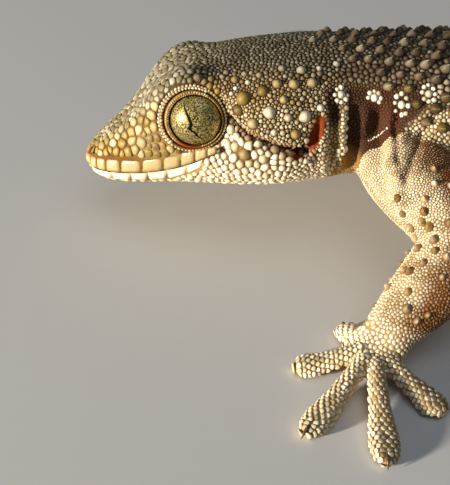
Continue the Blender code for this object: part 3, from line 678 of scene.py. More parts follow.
def survey(points):
    """Everything that the scales and the markings need to know about places on the skin."""
    station, out, height = locate(points)
    low, top = underside(station), back_height(station)
    level = low + (top - low) * WIDEST_LEVEL
    rise = height - level
    reach = np.where(rise > 0, top - level, level - low)
    spread = (np.abs(out) / half_width(station)) ** SECTION_POWER
    spread = spread + (np.abs(rise) / np.maximum(reach, 0.2)) ** SECTION_POWER
    limb_of, bone, rear, near = nearest_limb(points)
    on_limb = (spread ** (1 / SECTION_POWER) > OFF_TRUNK) & (near < NEAR_LIMB)
    on_limb |= (near < FAR_FROM_LIMB) & (np.abs(out) > half_width(station) + BESIDE_TRUNK)
    on_limb &= station > LIMBS_FROM
    from_top = np.degrees(np.arctan2(np.abs(out), rise))
    return {
        "station": station, "out": out, "height": height, "level": height - CHIN_HEIGHT,
        "from_top": from_top, "on_limb": on_limb, "limb": limb_of, "bone": bone, "rear": rear,
    }


CROWN_LINE = (
    (0.0, 3.5), (2.4, 5.0), (5.4, 7.5), (7.3, 9.6), (9.5, 10.7),
    (12.0, 11.2), (16.0, 11.6), (22.0, 11.6), (31.0, 11.0),
)
NECK_RIDGE = (
    (23.55, 9.0), (23.5, 7.8), (23.45, 6.6), (23.35, 5.6), (22.95, 4.4), (22.3, 3.4), (21.8, 2.9),
)
EAR_RIDGE = ((21.6, 8.3), (21.8, 7.2), (21.6, 6.0), (21.2, 5.0), (20.5, 4.4))
SHOULDER_EDGE = ((27.6, 7.4), (26.7, 6.4), (25.9, 5.4))
BAND_START = 33.0
BAND_PITCH = 9.5


def crown_level(station):
    """Height above the chin line where the ochre cheek gives way to the grey crown."""
    return np.interp(station, *zip(*CROWN_LINE))


def ear_share(points, out):
    """1 inside the ear opening, falling to 0 a little outside of it."""
    share = np.zeros(len(points))
    for station, level, wide, tall, lean in EAR_CUTS:
        right = head_point(station, EAR_OUT, level)
        left = head_point(station, -EAR_OUT, level)
        away = points - np.where((out > 0)[:, None], right, left)
        slope = math.radians(lean)
        x = away[:, 0] * math.cos(slope) - away[:, 2] * math.sin(slope)
        z = away[:, 2] * math.cos(slope) + away[:, 0] * math.sin(slope)
        reach = np.sqrt((x / wide) ** 2 + (away[:, 1] / 1.6) ** 2 + (z / tall) ** 2)
        share = np.maximum(share, step(-reach, -1.35, -1.05))
    return share


def bare_neck(s, level, from_top, shoulder):
    """1 on the soft skin between ear and shoulder, which few scales cover."""
    start = np.interp(level, (2.2, 3.0, 4.3, 5.5, 10.0), (22.2, 22.8, 23.25, 23.5, 23.6))
    bare = step(s - start, 0.05, 0.35) * step(-s, -33, -31) * (1 - shoulder)
    bare *= step(level, 2.3, 2.8) * step(from_top, 40, 52)
    gap = step(s, 21.7, 22.1) * step(-s, -23.3, -22.9)
    gap *= step(level, 6.6, 8.4) * step(-level, -11.0, -10.2)
    return np.maximum(bare, gap)


def back_bands(points, s, from_top):
    """The darker bands across back and tail, with uneven edges."""
    waves = 2 * math.pi * (s - BAND_START) / BAND_PITCH + 0.9 * np.sin(from_top / 25.0)
    bands = 0.5 + 0.5 * np.cos(waves)
    bands = step(bands + 0.35 * (blot(points, 5.0, 11) - 0.5), 0.55, 0.85)
    bands *= step(s, 30, 36) * step(-from_top, -92, -60)
    return bands


def trunk_marks(points, where):
    """How much of each colour head, neck, trunk and tail have at each point."""
    s, level, from_top = where["station"], where["level"], where["from_top"]
    # First where each part of the animal lies.
    head = step(-s, -24, -21)
    crown = step(level - crown_level(s), -0.9, 0.5)
    under_lip = mouth_height(np.minimum(s, MOUTH_END)) - level
    below_mouth = step(under_lip, -0.2, 0.4) * step(-s, -13.0, -11.5)
    cheek = step(groove_level(s) - 0.2 - level, -0.5, 0.9)
    cheek *= step(s, 11.0, 13.0) * step(-s, -23.5, -21.5)
    temple = step(s, 11.8, 13.2) * step(-s, -23.0, -21.5) * (1 - cheek) * (1 - crown)
    snout_side = step(-s, -12.5, -10.5) * (1 - crown) * (1 - below_mouth)
    snout_top = step(-s, -10.5, -6.0) * crown
    throat = step(1.6 - level, -0.6, 0.6) * step(-s, -30.0, -26.0)
    belly = step(from_top, 96, 122) * (1 - step(-s, -26, -23))
    shoulder = shoulder_share(s, level) * step(-s, -38, -33)
    shoulder *= step(level, 0.0, 1.0) * step(s, 24.0, 26.0)
    bare = bare_neck(s, level, from_top, shoulder)
    # Painted light: the low part of the bare neck is made less dark, yellow-seamed and flushed, lighter
    # than the skin above it.
    low_neck = bare * step(-level - 0.35 * (s - 23.5), -6.2, -4.2)
    ridge = sum(hump(from_line(s, level, line), 0.0, 0.3) for line in (NECK_RIDGE, EAR_RIDGE))
    snout_dark = hump(s, 6.4, 1.6) * hump(level, 4.9, 1.4)
    snout_dark += hump(s, 9.3, 1.6) * hump(level, 4.3, 0.5)
    upper_temple = temple * step(level, 8.4, 10.6)
    bands = back_bands(points, s, from_top)
    groove = hump(level, groove_level(s), 0.42) * step(s, 12.9, 13.8) * step(-s, -21.2, -20.4)
    ear = ear_share(points, where["out"])
    fleck = step(blot(points, 2.4, 5), 0.6, 0.9)
    low_cheek = step(-level, -4.2, -2.4)
    # Behind the shoulders the back shows its own lighter colours; its extra darkness ahead of them is
    # painted shade.
    behind = step(s, 33.0, 42.0)

    # Then how much of each colour it has there.
    pale = 0.06 * snout_side + 0.9 * below_mouth + 0.34 * temple + 0.16 * snout_top
    pale += (0.66 + 0.28 * low_cheek) * cheek
    pale = np.maximum(pale, np.maximum(0.92 * throat, belly))
    pale = np.maximum(pale, 0.3 * behind * (1 - bands))
    pale = np.maximum(pale, 0.6 * shoulder) * (1 - 0.95 * bare)
    pale = np.maximum(pale, 0.85 * np.clip(ridge, 0, 1)) * (1 - 0.3 * upper_temple)
    warm = (1 - 0.85 * crown) * head + (1 - head) * (0.2 + 0.5 * step(from_top, 50, 85))
    warm = np.maximum(np.maximum(warm, shoulder), bare)
    dark = 0.7 * bands + 0.75 * snout_dark + 0.15 * temple + 0.4 * upper_temple
    dark += 0.2 * fleck * step(-from_top, -100, -80)
    # Painted shade: the top of neck and shoulders and the crown behind the eyes are darkened.
    dark += 0.22 * step(s, 22, 30) * step(-s, -42, -33) * step(-from_top, -70, -30)
    dark += 0.4 * crown * step(s, 10.5, 13.0) * step(-s, -34, -28)
    # The bare neck is dark and deep brown, partly its own skin and partly painted shade under the jaw.
    dark = dark * (1 - 0.7 * np.clip(pale, 0, 1)) * (1 - bare) + bare * (0.9 - 0.9 * low_neck)
    # Painted shade: the groove from eye to ear is darkened, its seams deepened and flushed red-brown.
    dark = np.maximum(dark, 0.7 * groove)
    deep = 0.12 * snout_side + 0.95 * temple + 0.5 * crown * step(s, 8, 12)
    deep += 0.55 * (1 - 0.6 * low_cheek) * cheek
    deep += (0.6 - 0.4 * behind) * (1 - head) * step(-from_top, -110, -90)
    deep = np.maximum(deep * (1 - 0.6 * throat), np.maximum(bare - low_neck, groove))
    # Painted shade: the sunk mouth line is darkened.
    deep = np.maximum(deep, hump(level, mouth_height(s), 0.2) * (s < MOUTH_END))
    blush = np.maximum(ear, groove * (0.35 + 0.5 * step(s, 16.5, 19.0))) + 0.3 * low_neck
    blush += 0.15 * bare * hump(s, 27.0, 1.6) * step(level, 2.5, 4.5)
    rim = np.maximum(0.55 * snout_dark * snout_side, 0.3 * low_neck)
    return {
        "pale": pale, "warm": warm, "dark": dark, "deep": deep, "blush": blush, "bare": bare, "rim": rim,
    }


def limb_marks(points, where):
    """The same for the limbs: pale below and ahead, spotted above, and painted shade, brown and red-brown,
    on an arm's rear side.
    """
    spots = step(blot(points, 2.6, 21), 0.62, 0.86)
    under = step(-where["height"], -1.7, -0.6)
    leg = where["limb"] > 1
    # Painted shade: an arm's rear side, away from the key light, is made less pale, dark and red-brown.
    rearward = where["rear"] - 0.25 * step(where["bone"], 1.4, 1.8)
    pale = 0.84 - 0.25 * spots - 0.6 * step(rearward, -0.4, 0.15)
    pale -= 0.45 * leg * step(-where["bone"], -2.5, -1.5)
    rear = step(rearward, -0.35, 0.15) * (1 - 0.6 * under)
    rear = rear * (where["limb"] < 2) * (where["bone"] < 2.1)
    none = np.zeros(len(points))
    return {
        "pale": np.maximum(pale, under),
        "warm": 0.95 - 0.5 * leg,
        "dark": np.maximum(0.1 * spots * (1 - under), 0.5 * rear),
        "deep": 0.2 + 0.25 * spots + 0.65 * rear,
        "blush": 0.4 * rear,
        "bare": none,
        "rim": none,
    }


def markings(points, where):
    """How pale, warm, dark, deep-seamed and flushed the animal is at each point, from 0 to 1, painted
    shade included.
    """
    s, level = where["station"], where["level"]
    on_limbs = limb_marks(points, where)
    found = {
        key: np.where(where["on_limb"], on_limbs[key], values)
        for key, values in trunk_marks(points, where).items()
    }
    # Painted shade: the shoulder folds and the armpit are darkened and flushed red-brown.
    shoulder_fold_shade = sum(hump(from_line(s, level, line), 0.0, 0.22) for line in SHOULDER_PLEATS)
    shoulder_fold_shade = np.clip(shoulder_fold_shade, 0, 1) * step(where["height"], 5.0, 6.5)
    armpit_shade = hump(s, 32.4, 1.1) * hump(level, 6.0, 0.8) * (np.abs(where["out"]) > 9.5)
    found["deep"] = np.maximum(found["deep"], 0.9 * shoulder_fold_shade)
    found["dark"] = np.maximum(found["dark"], np.maximum(0.3 * shoulder_fold_shade, 0.5 * armpit_shade))
    found["blush"] = np.maximum(found["blush"], np.maximum(0.95 * armpit_shade, 0.4 * shoulder_fold_shade))
    return {key: np.clip(values, 0, 1) for key, values in found.items()}


def add_field(mesh, name, values):
    """Stores one number for each vertex, for the material to read."""
    layer = mesh.attributes.new(name, "FLOAT", "POINT")
    layer.data.foreach_set("value", np.asarray(values, np.float32))


for mark, values in markings(skin_points, survey(skin_points)).items():
    add_field(hide.data, mark, values)


class Nodes:
    """A short hand for laying out a material's nodes."""

    def __init__(self, name):
        self.material = bpy.data.materials.new(name)
        self.material.use_nodes = True
        self.tree = self.material.node_tree
        self.shader = self.tree.nodes["Principled BSDF"]

    def field(self, name):
        node = self.tree.nodes.new("ShaderNodeAttribute")
        node.attribute_name = name
        return node.outputs["Fac"]

    def join(self, socket, value):
        if isinstance(value, bpy.types.NodeSocket):
            self.tree.links.new(value, socket)
        elif isinstance(value, tuple):
            socket.default_value = (*value, 1.0)
        elif value is not None:
            socket.default_value = value

    def maths(self, operation, first, second=None, third=None):
        node = self.tree.nodes.new("ShaderNodeMath")
        node.operation = operation
        for socket, value in zip(node.inputs, (first, second, third)):
            self.join(socket, value)
        return node.outputs[0]

    def mix(self, share, first, second):
        node = self.tree.nodes.new("ShaderNodeMix")
        node.data_type = "RGBA"
        for number, value in ((0, share), (6, first), (7, second)):
            self.join(node.inputs[number], value)
        return node.outputs[2]

    def ramp(self, value, *stops):
        node = self.tree.nodes.new("ShaderNodeValToRGB")
        for element, (position, colour) in zip(node.color_ramp.elements, stops):
            element.position = position
            element.color = (*colour, 1.0)
        self.tree.links.new(value, node.inputs["Fac"])
        return node.outputs["Color"]

    def noise(self, scale, detail=3.0, roughness=0.55):
        coordinates = self.tree.nodes.new("ShaderNodeTexCoord")
        node = self.tree.nodes.new("ShaderNodeTexNoise")
        self.tree.links.new(coordinates.outputs["Object"], node.inputs["Vector"])
        node.inputs["Scale"].default_value = scale
        node.inputs["Detail"].default_value = detail
        node.inputs["Roughness"].default_value = roughness
        return node.outputs["Fac"]

    def link(self, value, socket):
        self.tree.links.new(value, self.shader.inputs[socket])

    def surface(self, **values):
        for key, value in values.items():
            self.shader.inputs[key.replace("_", " ")].default_value = value

    def relief(self, height, distance, strength=1.0):
        node = self.tree.nodes.new("ShaderNodeBump")
        node.inputs["Distance"].default_value = distance
        node.inputs["Strength"].default_value = strength
        self.tree.links.new(height, node.inputs["Height"])
        self.link(node.outputs["Normal"], "Normal")


def colour_of(red, green, blue):
    """A colour as painters name it, from 0 to 255, turned into scene light."""
    shares = (red / 255, green / 255, blue / 255)
    return tuple(((c + 0.055) / 1.055) ** 2.4 if c > 0.04 else c / 12.92 for c in shares)


BACK_GREY = colour_of(120, 115, 92)
OCHRE = colour_of(176, 145, 60)
CREAM = colour_of(250, 240, 210)
DARK_BROWN = colour_of(44, 25, 8)
SEAM_GREY = colour_of(58, 54, 42)
SEAM_OCHRE = colour_of(130, 84, 22)
SEAM_CREAM = colour_of(214, 172, 108)
DEEP_BROWN = colour_of(70, 30, 4)
BLUSH_RED = colour_of(142, 56, 8)
RIM_YELLOW = colour_of(226, 194, 118)


def seam_colour(n):
    """The thin skin between the scales."""
    seam = n.mix(n.field("warm"), SEAM_GREY, SEAM_OCHRE)
    seam = n.mix(n.field("pale"), seam, SEAM_CREAM)
    seam = n.mix(n.field("deep"), seam, DEEP_BROWN)
    seam = n.mix(n.maths("MULTIPLY", n.field("dark"), 0.7), seam, DARK_BROWN)
    seam = n.mix(n.field("rim"), seam, RIM_YELLOW)
    return n.mix(n.field("blush"), seam, BLUSH_RED)


n = Nodes("skin between scales")
speckle = n.maths("MULTIPLY", n.noise(1400.0), 0.5)
n.link(n.mix(speckle, seam_colour(n), DARK_BROWN), "Base Color")
n.surface(Roughness=0.7, Specular_IOR_Level=0.15)
n.relief(n.noise(5200.0), 0.00006)
hide.data.materials.clear()
hide.data.materials.append(n.material)
hide.data.polygons.foreach_set("use_smooth", np.ones(len(hide.data.polygons), bool))


# The scales. Horny granules set edge to edge in the skin, each a low dome fitted to its
# neighbours. A piece of them is one mesh, and every dome is sunk at its rim and stands on the
# skin by its own height, tilted back where the scales overlap like tiles.

FINE_DOME = ((1.0, -0.2), (0.88, 0.42), (0.55, 0.86))
PLAIN_DOME = ((1.0, -0.15), (0.7, 0.72))
TILE_DOME = ((1.0, -0.25), (0.92, 0.5), (0.66, 0.84))
PATCH = 0.003
LOWEST = 0.002


def on_skin(points):
    """The nearest places on the skin and the smooth normals there."""
    found = np.array([skin_tree.find_nearest(Vector(p))[0] for p in points])
    near = np.array([normal_tree.find(p)[1] for p in found])
    return found, skin_normals[near]


def back_and_side(points, normals, where):
    """For each place the direction towards the tail or the toes along the skin, and its side."""
    turn = np.radians(heading_at(where["station"]))
    tailward = np.stack([np.cos(turn), np.sin(turn), np.zeros(len(turn))], axis=1)
    for number, found in enumerate(limb_paths.values()):
        mine = where["on_limb"] & (where["limb"] == number)
        if mine.any():
            path = found["path"]
            nearest = np.linalg.norm(points[mine][:, None] - path[None, ::6], axis=2).argmin(axis=1) * 6
            along = np.gradient(path, axis=0)[nearest]
            tailward[mine] = along / np.linalg.norm(along, axis=1)[:, None]
    tailward -= normals * (tailward * normals).sum(axis=1)[:, None]
    tailward /= np.maximum(np.linalg.norm(tailward, axis=1), 1e-6)[:, None]
    return tailward, np.cross(normals, tailward)


def bed_of(spots, sizes):
    """What a piece of scales is laid from: places, normals, directions, radii and the survey."""
    spots, normals = on_skin(np.asarray(spots, float))
    where = survey(spots)
    bed = {"spots": spots, "sizes": np.asarray(sizes, float), "where": where, "normals": normals}
    bed["tail"], bed["side"] = back_and_side(spots, normals, where)
    return bed


def part_of_bed(bed, pick):
    """The chosen scales of a bed."""
    chosen = {key: values[pick] for key, values in bed.items() if key != "where"}
    chosen["where"] = {key: values[pick] for key, values in bed["where"].items()}
    return chosen


def chart_places(points, where):
    """Where each root lies on an unwrap of the skin: trunk as one strip, each limb as its own."""
    u = 0.02 + 0.96 * where["station"] / TAIL_TIP
    turn = np.degrees(np.arctan2(where["out"], where["height"] - 6.0))
    v = 0.02 + 0.5 * (turn + 180) / 360
    for number, found in enumerate(limb_paths.values()):
        mine = where["on_limb"] & (where["limb"] == number)
        offset = points[mine] - found["palm"]
        ahead, across = math.cos(found["facing"]), math.sin(found["facing"])
        along = offset[:, 0] * ahead + offset[:, 1] * across
        beside = offset[:, 1] * ahead - offset[:, 0] * across
        u[mine] = 0.02 + 0.25 * number + 0.21 * np.clip((along + 26) / 40, 0, 1)
        v[mine] = 0.56 + 0.2 * np.clip((beside + 14) / 28, 0, 1) + 0.2 * (points[mine, 2] > 1.2)
    return np.stack([u, v], axis=1)


def joined_mesh(name, verts, quads, tris, fields, chart):
    """One mesh object from arrays in millimetres, with its fields and its OFBake map."""
    mesh = bpy.data.meshes.new(name)
    mesh.vertices.add(len(verts))
    mesh.vertices.foreach_set("co", (verts * MM).ravel())
    corners = np.concatenate([quads.ravel(), tris.ravel()])
    mesh.loops.add(len(corners))
    mesh.loops.foreach_set("vertex_index", corners.astype(np.int32))
    starts = np.arange(len(quads)) * 4
    starts = np.concatenate([starts, len(quads) * 4 + np.arange(len(tris)) * 3])
    mesh.polygons.add(len(starts))
    mesh.polygons.foreach_set("loop_start", starts.astype(np.int32))
    mesh.polygons.foreach_set("use_smooth", np.ones(len(starts), bool))
    mesh.update(calc_edges=True)
    for key, values in fields.items():
        add_field(mesh, key, values)
    layer = mesh.uv_layers.new(name="OFBake")
    layer.data.foreach_set("uv", chart[corners].astype(np.float32).ravel())
    made = new_object(name, mesh)
    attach(made, "root")
    return made


def scale_piece(name, bed, limit, high, rings=FINE_DOME, tilt=0.0, keel=0.0, peak=0.0, marks=None):
    """One mesh of many scales: domes inside their outlines, keeled or tilted where asked."""
    count, sides = limit.shape
    turns = even_turns(sides)
    each = len(rings) * sides + 1
    spots, normals = bed["spots"], bed["normals"]
    height = (bed["sizes"] * high)[:, None]
    verts = np.empty((count, each, 3))
    rise = np.ones((count, each))
    for ring, (share, lift) in enumerate(rings):
        x = limit * share * np.cos(turns)
        y = limit * share * np.sin(turns)
        ridge = keel * np.exp(-((y / (0.3 * bed["sizes"][:, None])) ** 2)) * (1.1 - share)
        lift_here = height * (lift + ridge) + tilt * x * (1.2 - share * (lift < 0))
        columns = slice(ring * sides, (ring + 1) * sides)
        verts[:, columns] = spots[:, None] + x[..., None] * bed["tail"][:, None]
        verts[:, columns] += y[..., None] * bed["side"][:, None]
        verts[:, columns] += lift_here[..., None] * normals[:, None]
        rise[:, columns] = max(lift, 0.0)
    lean = (peak * bed["sizes"])[:, None]
    verts[:, -1] = spots + normals * height * (1 + keel) + bed["tail"] * lean
    verts = verts.reshape(-1, 3)
    verts[:, 2] = np.maximum(verts[:, 2], LOWEST)
    base = (np.arange(count) * each)[:, None, None, None]
    column = np.arange(sides)
    following = (column + 1) % sides
    corner = np.stack([column, following, following + sides, column + sides], axis=1)[None, None]
    quads = (base + np.arange(len(rings) - 1)[None, :, None, None] * sides + corner).reshape(-1, 4)
    last = (len(rings) - 1) * sides
    tip = np.stack([column + last, following + last, np.full(sides, each - 1)], axis=1)[None]
    tris = (base[:, 0] + tip).reshape(-1, 3)
    fields = markings(spots, bed["where"])
    fields["tone"] = draw.random(count)
    for key, values in (marks or {}).items():
        fields[key] = np.where(np.isnan(values), fields[key], values)
    bare = fields.pop("bare")
    if marks is None:
        rise = rise * (1 - 0.85 * bare)[:, None]
    fields = {key: np.repeat(values, each) for key, values in fields.items()}
    fields["rise"] = rise.ravel()
    spread = np.concatenate([np.repeat([share for share, _ in rings], sides), [0.0]])
    around = np.concatenate([np.tile(turns, len(rings)), [0.0]])
    patch = np.stack([np.cos(around) * spread, np.sin(around) * spread], axis=1) * PATCH / 2
    chart = (chart_places(spots, bed["where"])[:, None] + patch[None]).reshape(-1, 2)
    made = joined_mesh(name, verts, quads, tris, fields, chart)
    made.data.materials.append(scale_material)
    return made


n = Nodes("horny scales")
paleness = n.maths("MULTIPLY_ADD", n.field("tone"), 0.5, n.maths("SUBTRACT", n.field("pale"), 0.25))
paleness = n.maths("MINIMUM", n.maths("MAXIMUM", paleness, 0.0), 1.0)
horn = n.mix(n.field("warm"), BACK_GREY, OCHRE)
horn = n.mix(paleness, horn, CREAM)
horn = n.mix(n.maths("MULTIPLY", n.field("dark"), 0.85), horn, DARK_BROWN)
horn = n.mix(n.maths("MULTIPLY", n.field("blush"), 0.55), horn, BLUSH_RED)
brightness = n.maths("MULTIPLY_ADD", n.field("tone"), 0.4, 0.7)
brightness = n.maths("MULTIPLY_ADD", n.noise(2600.0), 0.35, brightness)
shade = n.tree.nodes.new("ShaderNodeHueSaturation")
n.join(shade.inputs["Color"], horn)
n.join(shade.inputs["Value"], brightness)
raised = n.maths("POWER", n.field("rise"), 0.8)
n.link(n.mix(raised, seam_colour(n), shade.outputs["Color"]), "Base Color")
n.link(n.maths("MULTIPLY_ADD", n.field("rise"), -0.4, 0.8), "Roughness")
n.surface(Specular_IOR_Level=0.35, Subsurface_Weight=0.05, Subsurface_Scale=0.0003)
n.relief(n.noise(9000.0), 0.00002)
scale_material = n.material


# The tubercles. Large keeled scales stand in rows over the back and in whorls on the tail, round
# ones on the temples, and clusters of pale ones on the side of the neck. They are horn, with
# the keel along the body and the point leaning back.

TUBERCLE_ROWS = 14
ROW_SPREAD = 78.0
ROW_PITCH = 1.65
ROW_START = 20.5
ROW_LAG = 0.14
TUBERCLE_RADII = ((20, 0.34), (26, 0.42), (32, 0.48), (42, 0.56))
TAIL_START = 81.0
WHORL_START = 82.0
WHORL_END = 152.0
WHORL_PITCH = 2.35
WHORL_COUNTS = (8, 6)
FEWER_FROM = 125
WHORL_SPREAD = 80
TAIL_TUBERCLE_SHARE = 0.125
TAIL_TUBERCLE_LEAST = 0.1
TUBERCLE_DARKS = (0.5, 0.75, 0.95)
LIMB_ROWS = (0.45, 1.98, 0.13)
LIMB_ROW_TURN = 32
LIMB_GAP_SHARE = 0.25
# Paleness and darkness of a limb's tubercles, and how often each pair is drawn.
LIMB_LOOKS = ((0.1, 0.5), (0.15, 0.2), (0.7, 0.0))
LIMB_LOOK_SHARES = (0.3, 0.5, 0.2)
TUBERCLE_SPACING = 0.78
LID_CLEARANCE = 3.4
# Station, height above the chin line, radius, paleness and darkness.
TEMPLE_TUBERCLES = (
    (14.59, 9.75, 0.66, 0.05, 0.2), (13.78, 8.62, 0.52, 0.05, 0.6), (16.29, 10.38, 0.52, 0.05, 0.35),
    (17.56, 10.9, 0.48, 0.1, 0.15), (19.01, 10.88, 0.5, 0.12, 0.1), (20.64, 10.99, 0.48, 0.15, 0.1),
    (19.76, 11.82, 0.46, 0.15, 0.15), (18.07, 11.88, 0.38, 0.15, 0.25), (13.93, 11.05, 0.38, 0.1, 0.2),
    (15.04, 10.9, 0.3, 0.35, 0.0), (14.8, 11.44, 0.3, 0.2, 0.1), (16.08, 11.39, 0.34, 0.2, 0.3),
    (16.78, 8.76, 0.58, 0.45, 0.0), (19.89, 8.48, 0.56, 0.75, 0.0), (21.29, 9.11, 0.36, 0.9, 0.0),
    (18.41, 8.41, 0.4, 0.6, 0.0), (18.04, 9.82, 0.4, 0.2, 0.1), (15.36, 7.74, 0.5, 0.35, 0.0),
    (19.05, 6.97, 0.48, 0.3, 0.05), (17.18, 7.1, 0.34, 0.6, 0.0), (13.41, 7.55, 0.3, 0.6, 0.0),
    (13.57, 10.05, 0.22, 1.0, 0.0), (13.94, 10.44, 0.22, 1.0, 0.0), (13.5, 6.27, 0.42, 0.5, 0.0),
    (14.63, 4.95, 0.58, 0.2, 0.35), (16.28, 4.64, 0.45, 0.8, 0.0), (18.9, 5.13, 0.4, 0.95, 0.0),
    (21.35, 11.94, 0.28, 0.4, 0.0), (22.94, 12.22, 0.34, 0.4, 0.0), (20.92, 8.45, 0.26, 0.8, 0.0),
    (15.79, 5.99, 0.42, 0.6, 0.0), (14.09, 5.88, 0.42, 0.6, 0.0), (10.7, 11.3, 0.42, 0.1, 0.1),
)
# Station, height above the chin line, and how much taller than wide each rosette is.
NECK_ROSETTES = ((23.2, 10.1, 1.0), (26.22, 9.96, 0.85), (28.59, 9.7, 1.45), (30.95, 10.8, 1.0))
ROSETTE_RADIUS = 0.56
ROSETTE_MIDDLE = 0.38
LONE_SCALE = (23.4, 5.3)
LONE_SCALE_RADIUS = 0.4
RIDGE_BEADS = ((NECK_RIDGE, 0.25), (EAR_RIDGE, 0.17), (SHOULDER_EDGE, 0.1))
draw = np.random.default_rng(41)


def side_angle(station, level):
    """The turn of the section at which the head's or neck's side has this height."""
    tries = np.radians(np.linspace(-88, 88, 400))
    _, height = section(np.full(400, station), tries)
    return tries[np.argmin(np.abs(height - CHIN_HEIGHT - level))]


def side_place(station, level, side):
    """A point of the skin on one side of the head or neck, at a height above the chin line."""
    angle = side_angle(station, level)
    return trunk_point(np.array(station), np.array(angle if side > 0 else math.pi - angle))


def tubercle_places():
    """Places, radii and darkness of the large scales of trunk and tail, row by row."""
    rows, stations = [], []
    for row in range(TUBERCLE_ROWS):
        turn = -ROW_SPREAD + 2 * ROW_SPREAD * (row + 0.5) / TUBERCLE_ROWS
        first = ROW_START + ROW_LAG * abs(turn) + (0.5 * ROW_PITCH if row % 2 else 0.0)
        for station in np.arange(first, TAIL_START, ROW_PITCH):
            shift = draw.normal(0, 0.1, 2)
            angle = math.radians(90 - turn) + shift[0] * 0.06
            grown = np.interp(station, *zip(*TUBERCLE_RADII))
            spot = trunk_point(np.array(station + shift[1]), np.array(angle))
            rows.append((spot, grown * draw.uniform(0.88, 1.1)))
            stations.append(station)
    for station in np.arange(WHORL_START, WHORL_END, WHORL_PITCH):
        count = WHORL_COUNTS[int(station >= FEWER_FROM)]
        for k in range(count):
            turn = 90 + WHORL_SPREAD - 2 * WHORL_SPREAD * (k + 0.5) / count
            turn = math.radians(turn + draw.normal(0, 1.5))
            spot = trunk_point(np.array(station + draw.normal(0, 0.06)), np.array(turn))
            size = float(half_width(station)) * TAIL_TUBERCLE_SHARE + TAIL_TUBERCLE_LEAST
            rows.append((spot, size))
            stations.append(station)
    # Their darkness is halved behind the shoulders; the full darkness ahead of them is partly their own
    # colour and partly painted shade.
    return [(spot, size, 1 - 0.5 * step(s, 33.0, 42.0)) for (spot, size), s in zip(rows, stations)]


own = []
for spot, size, share in tubercle_places():
    own.append((spot, size, 0.0, share * draw.choice(TUBERCLE_DARKS), 0))
for side in (-1, 1):
    own += [(side_place(s, lv, side), r, pale, dark, 1) for s, lv, r, pale, dark in TEMPLE_TUBERCLES]
    for station, level, stretch in NECK_ROSETTES:
        middle = side_place(station, level, side)
        own.append((middle, ROSETTE_MIDDLE, 1.0, 0.0, 1))
        for k in range(8):
            turn = 2 * math.pi * k / 8 + draw.normal(0, 0.08)
            across = ROSETTE_RADIUS * math.cos(turn)
            above = ROSETTE_RADIUS * stretch * math.sin(turn)
            spot = side_place(station + across, level + above, side)
            own.append((spot, draw.uniform(0.2, 0.27), draw.uniform(0.75, 1.0), 0.0, 1))
    own.append((side_place(*LONE_SCALE, side), LONE_SCALE_RADIUS, 1.0, 0.0, 1))
    for line, size in RIDGE_BEADS:
        stations, levels = np.array(line).T
        lengths = np.concatenate([[0], np.cumsum(np.hypot(np.diff(stations), np.diff(levels)))])
        for distance in np.arange(0, lengths[-1], size * 1.7):
            station = np.interp(distance, lengths, stations) + draw.normal(0, 0.05)
            level = np.interp(distance, lengths, levels)
            bead = side_place(station, level + draw.normal(0, 0.05), side)
            own.append((bead, size * draw.uniform(0.7, 1.25), draw.uniform(0.6, 1.0), 0.0, 1))
for found in limb_paths.values():
    along = np.gradient(found["path"], axis=0)
    for n, mark in enumerate(np.arange(*LIMB_ROWS)):
        shifted = mark + draw.normal(0, 0.025)
        index = int(np.argmin(np.abs(found["bone"] - shifted)))
        lateral = np.cross(along[index] / np.linalg.norm(along[index]), (0, 0, 1.0))
        for k in range(5):
            if draw.random() < LIMB_GAP_SHARE:
                continue
            turn = math.radians((k - 2 + 0.5 * (n % 2)) * LIMB_ROW_TURN + draw.normal(0, 7))
            spot = found["path"][index] + lateral * found["across"][index] * math.sin(turn)
            spot = spot + np.array((0, 0, 1.0)) * found["thick"][index] * math.cos(turn)
            pale, dark = LIMB_LOOKS[draw.choice(3, p=LIMB_LOOK_SHARES)]
            own.append((spot, draw.uniform(0.3, 0.42), pale, dark, 2))
spots, sizes, own_pale, own_dark, kind = (np.array(column) for column in zip(*own))
large = bed_of(spots, sizes)
large.update({"own_pale": own_pale, "own_dark": own_dark, "kind": kind})
eye_gaps = [np.linalg.norm(large["spots"] - eye_frame(side)[0], axis=1) for side in (-1, 1)]
eye_gap = np.min(eye_gaps, axis=0)
in_ear = ear_share(large["spots"], large["where"]["out"])
first, *others = np.argsort(-(large["sizes"] + (large["kind"] == 1)), kind="stable")
clear = [first]
for index in others:
    gaps = np.linalg.norm(large["spots"][clear] - large["spots"][index], axis=1)
    touch = TUBERCLE_SPACING * (large["sizes"][clear] + large["sizes"][index])
    if (gaps > touch).all() and eye_gap[index] > LID_CLEARANCE and in_ear[index] < 0.05:
        clear.append(index)
large = part_of_bed(large, np.array(clear))
KEELED_RINGS = ((1.0, -0.1), (0.97, 0.18), (0.76, 0.52), (0.46, 0.82), (0.2, 0.97))
CONE_RINGS = ((1.0, -0.1), (0.9, 0.12), (0.66, 0.36), (0.4, 0.68), (0.18, 0.93))
tubercle_turns = even_turns(14)
for kind, name, rings, keel, peak, high, stretch, blush in (
    (0, "keeled_tubercles", KEELED_RINGS, 0.5, 0.5, 0.9, 0.22, 0.0),
    (1, "round_tubercles", KEELED_RINGS, 0.0, 0.12, 0.72, 0.05, 0.0),
    (2, "limb_tubercles", CONE_RINGS, 0.1, 0.5, 0.95, 0.25, 0.15),
):
    bed = part_of_bed(large, large["kind"] == kind)
    limit = bed["sizes"][:, None] * (1 + stretch * np.cos(tubercle_turns) ** 2)
    limit = limit * (1 + 0.05 * draw.normal(size=limit.shape))
    marks = {"pale": bed["own_pale"], "dark": bed["own_dark"], "blush": np.full(len(limit), blush)}
    tilt = 0.1 if keel else 0.0
    scale_piece(name, bed, limit, high, rings, tilt, keel, peak, marks)


